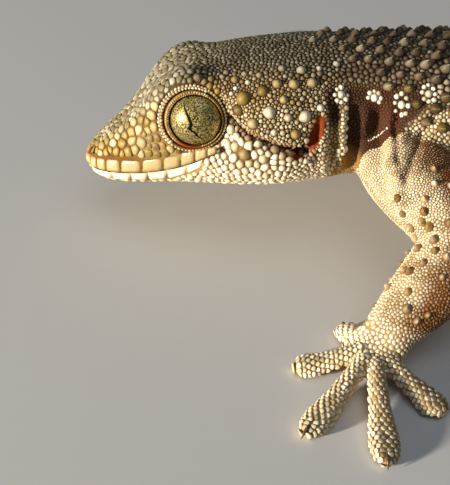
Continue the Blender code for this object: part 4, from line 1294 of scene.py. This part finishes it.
# The lips. Each jaw is edged with broad horny plates, nine above and six below on each side,
# and one across the front. Each plate is a pillow laid on the skin along the mouth.

UPPER_LIP_ENDS = (0.42, 1.05, 1.95, 3.35, 5.35, 7.35, 8.95, 10.25, 11.35, 12.2)
LOWER_LIP_ENDS = (0.42, 2.5, 4.3, 5.9, 7.7, 9.5, 10.9)
UPPER_LIP_HEIGHTS = ((0.0, 1.05), (1.5, 1.3), (5.0, 1.45), (8.0, 1.5), (10.5, 1.15), (12.3, 0.6))
LOWER_LIP_HEIGHTS = ((0.0, 0.8), (1.5, 0.95), (4.0, 1.1), (8.0, 1.25), (10.9, 0.8))
LIP_HALF_GAP = 0.06
LIP_RAISE = 0.15
LIP_SEAM = 0.02
LIP_SINK = 0.06
upper_lip_height = smooth_curve(UPPER_LIP_HEIGHTS, 1)
lower_lip_height = smooth_curve(LOWER_LIP_HEIGHTS, 1)


def lip_grid(stations, sides, upper, rows=8):
    """Places on the skin in rows away from the mouth, for one plate, and the normals there."""
    grid = np.empty((rows, len(stations), 3))
    for j, (station, side) in enumerate(zip(stations, sides)):
        tall = float((upper_lip_height if upper else lower_lip_height)(station))
        for i, a in enumerate(np.linspace(0, 1, rows)):
            rise = LIP_HALF_GAP + a * (tall - LIP_HALF_GAP)
            level = float(mouth_height(station)) + (rise if upper else -rise)
            level = max(level, float(underside(station)) - CHIN_HEIGHT + 0.12)
            grid[i, j] = side_place(station, level, side)
    normal = np.cross(np.gradient(grid, axis=1), np.gradient(grid, axis=0))
    normal /= np.maximum(np.linalg.norm(normal, axis=2), 1e-9)[..., None]
    outward = grid - head_point(float(np.mean(stations)) + 1.5, 0.0, 4.5)
    return grid, normal * np.sign((normal * outward).sum())


n = Nodes("lip plates")
plate = n.mix(n.field("upper"), colour_of(250, 243, 222), colour_of(214, 196, 148))
plate = n.mix(n.maths("MULTIPLY", n.noise(900.0), n.field("upper")), plate, colour_of(190, 160, 98))
rim = n.mix(n.field("upper"), colour_of(236, 212, 162), colour_of(166, 126, 60))
n.link(n.mix(n.maths("POWER", n.field("rise"), 1.4), rim, plate), "Base Color")
n.surface(Roughness=0.3, Subsurface_Weight=0.12, Subsurface_Scale=0.0004)
n.relief(n.noise(6000.0), 0.00002)
lip_edge = []
for name, ends, upper in (
    ("upper_lip_plates", UPPER_LIP_ENDS, True),
    ("lower_lip_plates", LOWER_LIP_ENDS, False),
):
    front = np.array((ends[0] - LIP_SEAM, 0.3, 0.18, 0.08, 0.02))
    plates = [(np.concatenate([front, front[::-1]]), np.repeat((1, -1), 5))]
    for side in (-1, 1):
        for start, end in zip(ends, ends[1:]):
            seam = LIP_SEAM if upper else LIP_SEAM / 2
            plates.append((np.linspace(start + seam, end - seam, 9), np.full(9, side)))
    verts, quads, rises, charts, used = [], [], [], [], 0
    for number, (stations, sides) in enumerate(plates):
        grid, normal = lip_grid(stations, sides, upper)
        rows, columns = grid.shape[:2]
        x, y = np.linspace(-1, 1, columns), np.linspace(-1, 1, rows)
        sharp = 6 if upper else 14
        profile = np.maximum(1 - np.abs(x)[None] ** sharp - np.abs(y)[:, None] ** 4, -0.4)
        verts.append((grid + normal * (profile * LIP_RAISE - LIP_SINK)[..., None]).reshape(-1, 3))
        lip_edge.append(grid[-1])
        if number and stations[-1] > ends[-1] - 0.1:
            lip_edge.append(grid[:, -1])
        rises.append(np.maximum(profile, 0.0).ravel())
        index = used + np.arange(rows * columns).reshape(rows, columns)
        corner = np.stack([index[:-1, :-1], index[:-1, 1:], index[1:, 1:], index[1:, :-1]], axis=-1)
        corner = corner.reshape(-1, 4)
        facing = np.cross(grid[0, 1] - grid[0, 0], grid[-1, 0] - grid[0, 0])
        facing = facing @ normal[rows // 2, columns // 2]
        quads.append(corner if facing > 0 else corner[:, ::-1])
        middle = np.array((0.04 + 0.045 * number, 0.75 if upper else 0.25))
        charts.append(middle + np.stack(np.meshgrid(x, y), axis=-1).reshape(-1, 2) * PATCH * 4)
        used += rows * columns
    fields = {"rise": np.concatenate(rises), "upper": np.full(used, float(upper))}
    verts, quads, chart = np.concatenate(verts), np.concatenate(quads), np.concatenate(charts)
    made = joined_mesh(name, verts, quads, np.empty((0, 3), int), fields, chart)
    made.data.materials.append(n.material)
lip_edge = np.concatenate(lip_edge)


# The lids. A gecko's lids do not move. They are a raised ring of skin round the eye, a soft
# double ridge that is wider above and in front, set with circles of small bead scales.

# Radius from the eye's axis, and height along it.
LID_PROFILE = (
    (2.30, 1.15), (2.36, 1.28), (2.42, 1.46), (2.52, 1.56), (2.66, 1.52), (2.77, 1.40), (2.84, 1.26),
    (2.91, 1.24), (3.00, 1.34), (3.12, 1.42), (3.26, 1.36), (3.40, 1.14), (3.55, 0.8), (3.7, 0.3),
)
LID_EDGE = 2.36
LID_END = 3.42
# Degrees round the eye from its tail side, and share of the widest part.
LID_SPREAD = (
    (0, 0.3), (30, 0.33), (60, 0.55), (90, 0.8), (120, 0.95), (150, 1.0), (210, 1.0), (240, 0.75),
    (270, 0.42), (300, 0.32), (330, 0.3), (360, 0.3),
)
# Radius of the circle, number of beads, their radius and paleness, and the least share.
LID_BEADS = (
    (2.46, 76, 0.1, 0.1, 0.0),
    (2.64, 70, 0.11, 0.25, 0.55),
    (3.08, 62, 0.15, 0.5, 0.6),
    (3.3, 58, 0.16, 0.6, 0.0),
)
EYE_RED = math.radians(-105)
RED_HALF_TURN = 0.5
RED_END = 3.2


def lid_share(turn):
    """How wide the lid ring is at a turn round the eye, against its widest part."""
    return np.interp(np.degrees(turn) % 360, *zip(*LID_SPREAD))


def lid_point(side, radius, turn):
    """A point of the lid ring by its radius in the profile and its turn round the eye."""
    grown = np.where(radius > LID_EDGE, LID_EDGE + (radius - LID_EDGE) * lid_share(turn), radius)
    return eye_ring(side, grown, np.interp(radius, *zip(*LID_PROFILE)), turn)


n = Nodes("skin of the lids")
lid = n.mix(n.field("crest"), colour_of(34, 20, 8), colour_of(160, 120, 52))
n.link(n.mix(n.field("red"), lid, BLUSH_RED), "Base Color")
n.surface(Roughness=0.4, Subsurface_Weight=0.1, Subsurface_Scale=0.0004)
n.relief(n.noise(6000.0), 0.00003)
lid_material = n.material


def grid_mesh(name, grid, material, fields):
    """A mesh object from a grid of points in millimetres."""
    rows, columns = grid.shape[:2]
    index = np.arange(rows * columns).reshape(rows, columns)
    quads = np.stack([index[:-1, :-1], index[1:, :-1], index[1:, 1:], index[:-1, 1:]], axis=-1)
    quads = quads.reshape(-1, 4)
    mesh = bpy.data.meshes.new(name)
    mesh.from_pydata((grid.reshape(-1, 3) * MM).tolist(), [], quads.tolist())
    for key, values in fields.items():
        add_field(mesh, key, np.broadcast_to(values, grid.shape[:2]).ravel())
    bm = bmesh.new()
    bm.from_mesh(mesh)
    bmesh.ops.remove_doubles(bm, verts=bm.verts, dist=1e-8)
    bmesh.ops.recalc_face_normals(bm, faces=bm.faces)
    bm.to_mesh(mesh)
    bm.free()
    mesh.polygons.foreach_set("use_smooth", np.ones(len(mesh.polygons), bool))
    mesh.materials.append(material)
    made = new_object(name, mesh)
    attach(made, "root")
    return made


lid_spots, lid_normals, lid_sizes, lid_pale = [], [], [], []
for side, word in ((-1, "left"), (1, "right")):
    marks_along = np.linspace(0, 1, len(LID_PROFILE))
    radii = np.interp(np.linspace(0, 1, 40), marks_along, [r for r, _ in LID_PROFILE])
    turn = np.linspace(0, 2 * math.pi, 121)
    radius_grid, turn_grid = np.meshgrid(radii, turn, indexing="ij")
    height = np.interp(radii, *zip(*LID_PROFILE))[:, None]
    crest = step(height, 1.25, 1.5) * step(-radii, -3.5, -3.35)[:, None]
    from_red = (turn_grid - EYE_RED + math.pi) % (2 * math.pi) - math.pi
    red = hump(from_red, 0.0, RED_HALF_TURN) * step(-radius_grid, -3.1, -2.8)
    lid_fields = {"crest": crest, "red": red}
    grid_mesh("lid_" + word, lid_point(side, radius_grid, turn_grid), lid_material, lid_fields)
    for number, (radius, count, size, pale, least) in enumerate(LID_BEADS):
        turns = 2 * math.pi * (np.arange(count) + 0.5 * (number % 2)) / count
        turns = turns[lid_share(turns) > least]
        if radius < RED_END:
            from_red = (turns - EYE_RED + math.pi) % (2 * math.pi) - math.pi
            turns = turns[np.abs(from_red) > RED_HALF_TURN]
        here = lid_point(side, np.full(len(turns), radius), turns)
        inner = lid_point(side, np.full(len(turns), radius - 0.05), turns)
        outer = lid_point(side, np.full(len(turns), radius + 0.05), turns)
        beside = lid_point(side, np.full(len(turns), radius), turns + 0.02)
        normal = np.cross(outer - inner, beside - here)
        normal /= np.linalg.norm(normal, axis=1)[:, None]
        normal *= np.sign((normal @ eye_frame(side)[1]))[:, None]
        lid_spots.append(here)
        lid_normals.append(normal)
        lid_sizes.append(size * draw.uniform(0.88, 1.12, len(turns)))
        lid_pale.append(np.full(len(turns), pale))
beads = {
    "spots": np.concatenate(lid_spots),
    "normals": np.concatenate(lid_normals),
    "sizes": np.concatenate(lid_sizes),
}
beads["where"] = survey(beads["spots"])
beads["tail"], beads["side"] = back_and_side(beads["spots"], beads["normals"], beads["where"])
bead_pale = np.concatenate(lid_pale)
limit = beads["sizes"][:, None] * (1 + 0.07 * draw.normal(size=(len(bead_pale), 8)))
scale_piece(
    "lid_beads", beads, limit, 0.7,
    marks={"pale": bead_pale, "dark": bead_pale * 0, "blush": bead_pale * 0, "warm": bead_pale * 0 + 1},
)


# The coat of granules. Their places are drawn at random with a spacing for each part of the
# body and twice moved to even them out, and each outline is where it meets the ones around it.
# The upper side of each toe carries cross rows of its own.

TOE_ROW_PITCH = 0.38
TOE_SCALE_WIDTH = 0.5
TOE_ROWS_FROM = 0.18
TOE_ROWS_TO = 0.985
TOE_SCALE_RADIUS = 0.22
EDGE_RADIUS = 0.06
SNOUT_END = 9.5
HEAD_END = 23.0
NECK_END = 31.0
THROAT_LEVEL = 1.0
BACK_TURN = 55
BELLY_TURN = 105
NOSTRIL_EDGE = 0.4
NOSTRIL_CLEARANCE = 0.5
CANDIDATES = 720000
SMALLEST = 0.1
LARGEST = 0.6
TEMPLE_STATIONS = (12.8, 22.5)
TEMPLE_LEVELS = (5.0, 11.6)
EVENING_REACH = 1.7
OUTLINE_REACH = 1.75
HALF_SEAM = 0.016
# Station, or place along the arm, and the usual radius of a scale there.
CROWN_RADII = ((0, 0.2), (3, 0.22), (7, 0.28), (9, 0.28), (12.4, 0.2))
SNOUT_RADII = ((0, 0.26), (1, 0.31), (3, 0.36), (6, 0.38), (8.5, 0.32), (12.4, 0.24))
CHEEK_RADII = ((12, 0.27), (14, 0.31), (18, 0.26), (21, 0.17), (23, 0.15))
THROAT_RADII = ((0, 0.36), (5, 0.33), (12, 0.26), (24, 0.24))
ARM_SCALE_RADII = ((0.5, 0.108), (1.1, 0.115), (1.9, 0.135), (2.2, 0.18))
toe_spots, toe_first, toe_dark, toe_pale = [], [], [], []
for digit in digits:
    length = digit["length"]
    rows = np.arange(TOE_ROWS_FROM * length, length * TOE_ROWS_TO, TOE_ROW_PITCH)
    for number, distance in enumerate(rows):
        share = distance / length
        width, thickness = float(digit_width(share)), float(digit_thickness(share))
        count = max(3, int(round(math.pi * (width + thickness) / 2 / TOE_SCALE_WIDTH)))
        for k in range(count + number % 2):
            turn = math.pi * (k + 0.5 - 0.5 * (number % 2)) / count
            spot = digit["palm"] + digit["along"] * distance + digit["across"] * width * math.cos(turn)
            spot[2] = float(digit_height(share)) + thickness * math.sin(turn)
            toe_spots.append(spot)
            midline = math.exp(-((math.cos(turn) / 0.5) ** 2)) * min(1.0, 1.3 * share)
            first = digit["number"] == 0
            # Painted shade: the side of the third to fifth toes away from the key light is darkened.
            shaded = 0.45 * step(math.cos(turn) * digit["across"][0], 0.0, 0.8) * (digit["number"] > 1)
            brown = midline * draw.choice((0.15, 0.6, 0.9), p=(0.35, 0.35, 0.3))
            toe_dark.append(max(brown, shaded) * (1 - first))
            toe_first.append(first)
            toe_pale.append(1.0 if first else draw.uniform(0.5, 0.85))


def scale_radius(where):
    """The usual radius of a scale at each place, in millimetres."""
    s, level, from_top = where["station"], where["level"], where["from_top"]
    size = np.where(from_top > BELLY_TURN, 0.4, 0.25)
    upper = level > crown_level(s) - 0.3
    crown = np.interp(s, *zip(*CROWN_RADII))
    snout = np.where(upper, crown, np.interp(s, *zip(*SNOUT_RADII)))
    cheek = np.interp(s, *zip(*CHEEK_RADII))
    temple = np.where(upper, 0.17, 0.125)
    throat = np.interp(s, *zip(*THROAT_RADII))
    neck = np.where(from_top < 45, 0.2, np.where(s > 23.5, 0.12, 0.14))
    size = np.where(s < NECK_END, neck, size)
    size = np.where(s < HEAD_END, np.where(level < groove_level(s), cheek, temple), size)
    size = np.where((s > 13.2) & (s < 20.4) & (np.abs(level - groove_level(s)) < 0.3), 0.12, size)
    size = np.where(s < MOUTH_END, snout, size)
    size = np.where((s < 25) & (level < THROAT_LEVEL), throat, size)
    on_shoulder = (shoulder_share(s, level) > 0.5) & (s > 26) & (s < 34) & (from_top > 50)
    size = np.where(on_shoulder, 0.16, size)
    size = np.where(s > TAIL_START, np.where(from_top > 100, 0.44, 0.32), size)
    arm = np.interp(where["bone"], *zip(*ARM_SCALE_RADII))
    return np.where(where["on_limb"], np.where(where["limb"] == 0, arm, 0.2), size)


def on_digit(points):
    """Whether points belong to a toe, which has rows of its own."""
    inside = np.zeros(len(points), bool)
    for digit in digits:
        offset = points - digit["palm"]
        share = offset @ digit["along"] / digit["length"]
        across = np.abs(offset @ digit["across"])
        near = (across < digit_width(share) + 0.3) & (points[:, 2] < 3.2)
        inside |= (share > TOE_ROWS_FROM - 0.01) & (share < TOE_ROWS_TO) & near
    return inside


def candidates_on_skin(count):
    """Random places on the skin, thicker where the scales are smaller, with their radii."""
    loops = np.empty(len(hide.data.loops), int)
    hide.data.loops.foreach_get("vertex_index", loops)
    corners = skin_points[loops.reshape(-1, 4)]
    crossed = np.cross(corners[:, 2] - corners[:, 0], corners[:, 3] - corners[:, 1])
    area = np.linalg.norm(crossed, axis=1)
    radius = scale_radius(survey(corners.mean(axis=1)))
    weight = area / radius**2
    pick = draw.choice(len(corners), count, p=weight / weight.sum())
    u, v = draw.random((2, count, 1))
    a, b, c, d = corners[pick].transpose(1, 0, 2)
    points = a * (1 - u) * (1 - v) + b * u * (1 - v) + c * u * v + d * (1 - u) * v
    return points, radius[pick]


def keep_apart(points, radii, first_points, first_radii):
    """Walks through the places, large ones first, and keeps each one that is clear of the others."""
    cell = 0.6
    grid = {}
    for (x, y, z), r in zip(first_points.tolist(), first_radii.tolist()):
        grid.setdefault((int(x // cell), int(y // cell), int(z // cell)), []).append((x, y, z, r))
    order = np.argsort(-np.ceil(radii / 0.05), kind="stable").tolist()
    keys = (points // cell).astype(int).tolist()
    places, sizes, kept = points.tolist(), radii.tolist(), []
    around = sorted(
        ((i, j, k) for i in (-1, 0, 1) for j in (-1, 0, 1) for k in (-1, 0, 1)),
        key=lambda shift: abs(shift[0]) + abs(shift[1]) + abs(shift[2]),
    )
    for index in order:
        x, y, z = places[index]
        r = sizes[index]
        kx, ky, kz = keys[index]
        clear = True
        for i, j, k in around:
            for px, py, pz, pr in grid.get((kx + i, ky + j, kz + k), ()):
                gap = (r + pr) * 0.84
                if (px - x) ** 2 + (py - y) ** 2 + (pz - z) ** 2 < gap * gap:
                    clear = False
                    break
            if not clear:
                break
        if clear:
            grid.setdefault((kx, ky, kz), []).append((x, y, z, r))
            kept.append(index)
    return np.array(kept)


def tree_of(points):
    """A search tree of places."""
    tree = KDTree(len(points))
    for n, point in enumerate(points):
        tree.insert(point, n)
    tree.balance()
    return tree


def outlines(bed, tree, pick, sides, reach):
    """How far each picked scale reaches in each direction before it meets a neighbour."""
    turns = even_turns(sides)
    spots, radii = bed["spots"], bed["sizes"]
    points, tail, side_way = spots[pick], bed["tail"][pick], bed["side"][pick]
    own = radii[pick]
    near = np.array([[hit[1] for hit in tree.find_n(p, 12)] for p in points])[:, 1:]
    offset = spots[near] - points[:, None]
    x = (offset * tail[:, None]).sum(axis=2)
    y = (offset * side_way[:, None]).sum(axis=2)
    half = ((offset**2).sum(axis=2) + own[:, None] ** 2 - radii[near] ** 2) / 2
    limit = own[:, None] * reach * np.ones(sides)
    for k, turn in enumerate(turns):
        towards = x * math.cos(turn) + y * math.sin(turn)
        meet = np.where(towards > 1e-4, half / np.maximum(towards, 1e-4), 1e9).min(axis=1)
        limit[:, k] = np.minimum(limit[:, k], np.maximum(meet, 0.03))
    return limit


candidates, radii = candidates_on_skin(CANDIDATES)
radii = np.clip(radii * np.exp(0.12 * draw.normal(size=len(radii))), SMALLEST, LARGEST)
station, out, height = locate(candidates)
level = height - CHIN_HEIGHT
mixed = (station > TEMPLE_STATIONS[0]) & (station < TEMPLE_STATIONS[1])
mixed &= (level > TEMPLE_LEVELS[0]) & (level < TEMPLE_LEVELS[1])
grown = draw.choice((0.85, 1.1, 1.6), len(radii), p=(0.6, 0.3, 0.1))
radii = np.where(mixed, radii * grown, radii)
lip_low = mouth_height(station) - lower_lip_height(station) * (station < LOWER_LIP_ENDS[-1])
lip_top = mouth_height(station) + upper_lip_height(station)
keep = ~((station < UPPER_LIP_ENDS[-1]) & (level > lip_low) & (level < lip_top))
keep &= ~on_digit(candidates)
keep &= ear_share(candidates, out) < 0.25
holes = []
for side in (-1, 1):
    centre, look, tailward, up = eye_frame(side)
    away = candidates - centre
    turn = np.arctan2(away @ up, away @ tailward)
    ring = LID_EDGE + (LID_END - LID_EDGE) * lid_share(turn) + 0.1
    keep &= (np.hypot(away @ up, away @ tailward) > ring) | (away @ look < 0)
    nostril = head_point(NOSTRIL[0], NOSTRIL[1] * side, NOSTRIL[2])
    keep &= np.linalg.norm(candidates - nostril, axis=1) > NOSTRIL_CLEARANCE
    around = even_turns(16)
    circle = np.stack([np.cos(around), 0 * around, np.sin(around)], axis=1)
    holes.append(nostril + NOSTRIL_EDGE * circle)
    turn = even_turns(90)
    holes.append(lid_point(side, np.full(90, LID_END), turn))
candidates, radii = candidates[keep], radii[keep]
large_tree = tree_of(large["spots"])
hits = [large_tree.find(p) for p in candidates]
near_size = large["sizes"][[hit[1] for hit in hits]]
clear = np.array([hit[2] for hit in hits]) > 0.92 * (near_size + radii)
candidates, radii = candidates[clear], radii[clear]
toe_spots = np.array(toe_spots)
edges = np.concatenate([lip_edge, *holes])
fixed_spots = np.concatenate([toe_spots, edges])
fixed_sizes = np.concatenate([np.full(len(toe_spots), TOE_SCALE_RADIUS), np.full(len(edges), EDGE_RADIUS)])
kept = keep_apart(candidates, radii, fixed_spots, fixed_sizes)
fixed = len(large["spots"]) + len(fixed_spots)
bed = bed_of(
    np.concatenate([large["spots"], fixed_spots, candidates[kept]]),
    np.concatenate([large["sizes"], fixed_sizes, radii[kept]]),
)
everything = np.arange(len(bed["spots"]))
for _ in range(2):
    limit = outlines(bed, tree_of(bed["spots"]), everything, 8, EVENING_REACH)
    turns = even_turns(8)
    weight = (limit**2).sum(axis=1)
    move_x = (limit**3 * np.cos(turns)).sum(axis=1) * 2 / 3 / weight
    move_y = (limit**3 * np.sin(turns)).sum(axis=1) * 2 / 3 / weight
    move = (move_x[:, None] * bed["tail"] + move_y[:, None] * bed["side"]) * 0.75
    move[:fixed] = 0
    bed = bed_of(bed["spots"] + move, bed["sizes"])
tree = tree_of(bed["spots"])
where = bed["where"]
station, from_top, level = where["station"], where["from_top"], where["level"]
on_limb = where["on_limb"]
granule = everything >= fixed
toe = (everything >= len(large["spots"])) & (everything < len(large["spots"]) + len(toe_spots))
trunk = granule & ~on_limb
limb = granule & on_limb
body = trunk & (station >= NECK_END) & (station < TAIL_START)
toe_first, toe_dark, toe_pale = np.array(toe_first), np.array(toe_dark), np.array(toe_pale)
thumb = toe.copy()
thumb[toe] = toe_first
thumb_marks = {"dark": toe_dark[toe_first], "pale": toe_pale[toe_first]}
toe_marks = {"dark": toe_dark[~toe_first], "pale": toe_pale[~toe_first]}
head = trunk & (station < HEAD_END)
throat = head & (level <= THROAT_LEVEL)
head &= ~throat
neck = trunk & (station >= HEAD_END) & (station < NECK_END)
# Which scales a piece holds, their height in radii, the corners of each, and how it differs.
parts = {
    "snout_scales": (head & (station < SNOUT_END), 0.42, 9, {"rings": TILE_DOME}),
    "head_scales": (head & (station >= SNOUT_END), 0.6, 7, {"rings": FINE_DOME}),
    "throat_scales": (throat, 0.42, 8, {"rings": FINE_DOME}),
    "neck_scales": (neck, 0.35, 7, {}),
    "back_scales": (body & (from_top < BACK_TURN), 0.45, 7, {}),
    "flank_scales": (body & (from_top >= BACK_TURN) & (from_top < BELLY_TURN), 0.45, 7, {}),
    "belly_scales": (body & (from_top >= BELLY_TURN), 0.2, 7, {"tilt": 0.12}),
    "tail_scales": (trunk & (station >= TAIL_START), 0.32, 7, {"tilt": 0.15}),
    "toe_rows": (toe & ~thumb, 0.5, 8, {"tilt": 0.28, "rings": TILE_DOME, "marks": toe_marks}),
    "first_toe_rows": (thumb, 0.3, 8, {"tilt": 0.08, "rings": TILE_DOME, "marks": thumb_marks}),
}
for number, limb_name in enumerate(LIMBS):
    mine = limb & (where["limb"] == number)
    if number == 0:
        upper_arm = where["bone"] < 1.2
        parts["upper_arm_left_scales"] = (mine & upper_arm, 0.4, 7, {"tilt": 0.25})
        parts["forearm_left_scales"] = (mine & ~upper_arm, 0.4, 7, {"tilt": 0.3})
    else:
        parts[limb_name + "_scales"] = (mine, 0.45, 7, {"tilt": 0.25})
for name, (mine, high, sides, look) in parts.items():
    pick = np.flatnonzero(mine)
    limit = outlines(bed, tree, pick, sides, OUTLINE_REACH)
    limit = np.maximum(limit - HALF_SEAM, 0.6 * limit)
    if "marks" not in look:
        whole = limit.mean(axis=1) > 0.5 * bed["sizes"][pick]
        pick, limit = pick[whole], limit[whole]
    look.setdefault("rings", PLAIN_DOME)
    scale_piece(name, part_of_bed(bed, pick), limit, high, **look)

hide.data.transform(Matrix.Scale(MM, 4))
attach(hide, "root")
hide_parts(*(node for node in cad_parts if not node.startswith("eye_")))


# The eyes. A gold iris, finely speckled with dark brown, fills the whole ball, and the pupil
# closes in daylight to a wavy upright slit. The ball is smooth, wet and glossy.

# Distance below the eye's middle, with the slit's place towards the tail, then its half width.
PUPIL_LINE = (
    (-1.7, -0.95), (-1.25, -0.82), (-0.75, -0.57), (-0.3, -0.37), (0.12, -0.32), (0.37, -0.45),
    (0.6, -0.27), (0.8, 0.03), (1.1, 0.18), (1.3, 0.38), (1.6, 0.68),
)
PUPIL_WIDTH = (
    (-1.7, 0.03), (-1.2, 0.08), (-0.7, 0.12), (-0.2, 0.14),
    (0.3, 0.17), (0.7, 0.14), (1.2, 0.1), (1.6, 0.03),
)
pupil_side = smooth_curve(PUPIL_LINE, 1)
pupil_width = smooth_curve(PUPIL_WIDTH, 1)
IRIS_INSET = 0.02
PUPIL_RAISE = 0.012

n = Nodes("speckled gold iris")
black, white = (0.0, 0.0, 0.0), (1.0, 1.0, 1.0)
speck = n.ramp(n.noise(7600.0, 4.0, 0.8), (0.48, colour_of(12, 8, 3)), (0.53, colour_of(214, 192, 112)))
cloud = n.ramp(n.noise(1500.0), (0.4, black), (0.65, white))
gold = n.mix(n.maths("MULTIPLY", cloud, 0.45), speck, colour_of(98, 74, 30))
margin = n.ramp(n.field("edge"), (0.765, black), (0.81, white))
n.link(n.mix(margin, gold, colour_of(10, 8, 6)), "Base Color")
n.surface(Metallic=0.5, Roughness=0.42, Coat_Weight=0.4, Coat_Roughness=0.2)
iris_material = n.material
n = Nodes("black slit pupil")
n.surface(Base_Color=(0.002, 0.0015, 0.001, 1), Roughness=0.6, Specular_IOR_Level=0.1)
pupil_material = n.material
for side, word in ((-1, "left"), (1, "right")):
    centre, look, tailward, up = eye_frame(side)
    radius = EYE_RADIUS - IRIS_INSET
    polar = np.linspace(0.0, math.pi * 0.999, 60)[:, None]
    around = np.linspace(0, 2 * math.pi, 97)[None]
    out = np.cos(polar) * np.ones_like(around)
    back = np.sin(polar) * np.cos(around)
    rise = np.sin(polar) * np.sin(around)
    ball_points = out[..., None] * look + back[..., None] * tailward + rise[..., None] * up
    edge = np.minimum(polar / (math.pi / 2), 1.0) * 1.25
    grid = centre + ball_points * radius
    iris = grid_mesh("iris_" + word, grid, iris_material, {"edge": edge})
    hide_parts("eye_" + word)
    down = np.linspace(PUPIL_LINE[0][0], PUPIL_LINE[-1][0], 60)[:, None]
    back = pupil_side(down) + pupil_width(down) * np.linspace(-1, 1, 5)[None]
    rise = -down * np.ones((1, 5))
    out = np.sqrt((radius + PUPIL_RAISE) ** 2 - back**2 - rise**2)
    grid = centre + back[..., None] * tailward + rise[..., None] * up + out[..., None] * look
    grid_mesh("pupil_" + word, grid, pupil_material, {})


# The claws. The third and fourth toe of each foot end in a small, sharp claw of brown horn that
# arches and then bends down to its point. It grows out of the toe, so its root is sunk in there.

CLAWED = (2, 3)
CLAW_LENGTH = 1.15
CLAW_ROOT = 0.93
CLAW_ROOT_HEIGHT = 0.66
CLAW_ARCH = 0.2
CLAW_DROP = 0.36
CLAW_HALF_WIDTH = 0.22
CLAW_POINT = 0.015
CLAW_ABOVE_FLOOR = 0.05
n = Nodes("brown horn")
n.link(n.mix(n.noise(1800.0), colour_of(120, 84, 46), colour_of(60, 40, 22)), "Base Color")
n.surface(Roughness=0.3)
for digit in digits:
    if digit["number"] not in CLAWED:
        continue
    share = np.linspace(0, 1, 14)
    reach = digit["length"] * CLAW_ROOT + share * CLAW_LENGTH
    path = digit["palm"] + digit["along"] * reach[:, None]
    path[:, 2] = CLAW_ROOT_HEIGHT + CLAW_ARCH * np.sin(share * math.pi) - CLAW_DROP * share**2
    width = CLAW_HALF_WIDTH * (1 - share) ** 0.7 + CLAW_POINT
    rings = oval_rings(path, width, width * 1.2, 10)
    rings[..., 2] = np.maximum(rings[..., 2], CLAW_ABOVE_FLOOR)
    claw = loft("claw_" + digit["limb"] + "_" + str(digit["number"] + 1), rings * MM)
    claw.data.materials.append(n.material)
    claw.data.polygons.foreach_set("use_smooth", np.ones(len(claw.data.polygons), bool))
    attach(claw, "root")


# The studio. A plain pale floor, a low warm key light ahead of the snout on the left, a weak
# cool fill from above, and a close camera that looks down on the head from its left side.

ROOM_STRENGTH = 0.13
HEAD_PLACE = (-0.035, -0.005, 0.008)
KEY_PLACE = (-0.5, -0.24, 0.1)
KEY_SIZE = 0.045
KEY_POWER = 5.8
KEY_COLOUR = (1.0, 0.94, 0.85)
FILL_PLACE = (0.1, -0.1, 0.6)
FILL_SIZE = 0.5
FILL_POWER = 0.75
FILL_COLOUR = (0.88, 0.94, 1.0)
floor_mesh = bpy.data.meshes.new("floor")
floor_mesh.from_pydata([(-5, -5, 0), (5, -5, 0), (5, 5, 0), (-5, 5, 0)], [], [(0, 1, 2, 3)])
floor = new_object("floor", floor_mesh)
n = Nodes("pale floor")
n.surface(Base_Color=(0.6, 0.58, 0.54, 1), Roughness=0.9)
floor_mesh.materials.append(n.material)

world = bpy.data.worlds.new("soft room")
bpy.context.scene.world = world
world.use_nodes = True
world.node_tree.nodes["Background"].inputs["Color"].default_value = (0.6, 0.75, 1.0, 1)
world.node_tree.nodes["Background"].inputs["Strength"].default_value = ROOM_STRENGTH
bpy.context.scene.view_settings.view_transform = "Standard"


def lamp(name, place_m, aim_m, size, power, colour):
    """A square soft light aimed at a point."""
    data = bpy.data.lights.new(name, "AREA")
    data.size = size
    data.energy = power
    data.color = colour
    made = new_object(name, data)
    made.location = place_m
    made.rotation_mode = "QUATERNION"
    made.rotation_quaternion = (Vector(aim_m) - Vector(place_m)).to_track_quat("-Z", "Y")


lamp("key", KEY_PLACE, HEAD_PLACE, KEY_SIZE, KEY_POWER, KEY_COLOUR)
lamp("fill", FILL_PLACE, (0.0, 0.0, 0.0), FILL_SIZE, FILL_POWER, FILL_COLOUR)

CAMERA_PLACE = (-0.04373, -0.08187, 0.06373)
CAMERA_TILT = 40.0
LENS = 76.82
camera_data = bpy.data.cameras.new("camera")
camera_data.lens = LENS
camera_data.sensor_width = 36.0
camera_data.clip_start = 0.005
camera_data.clip_end = 20.0
camera = new_object("camera", camera_data)
camera.location = CAMERA_PLACE
camera.rotation_euler = (math.radians(90 - CAMERA_TILT), 0, 0)
bpy.context.scene.camera = camera
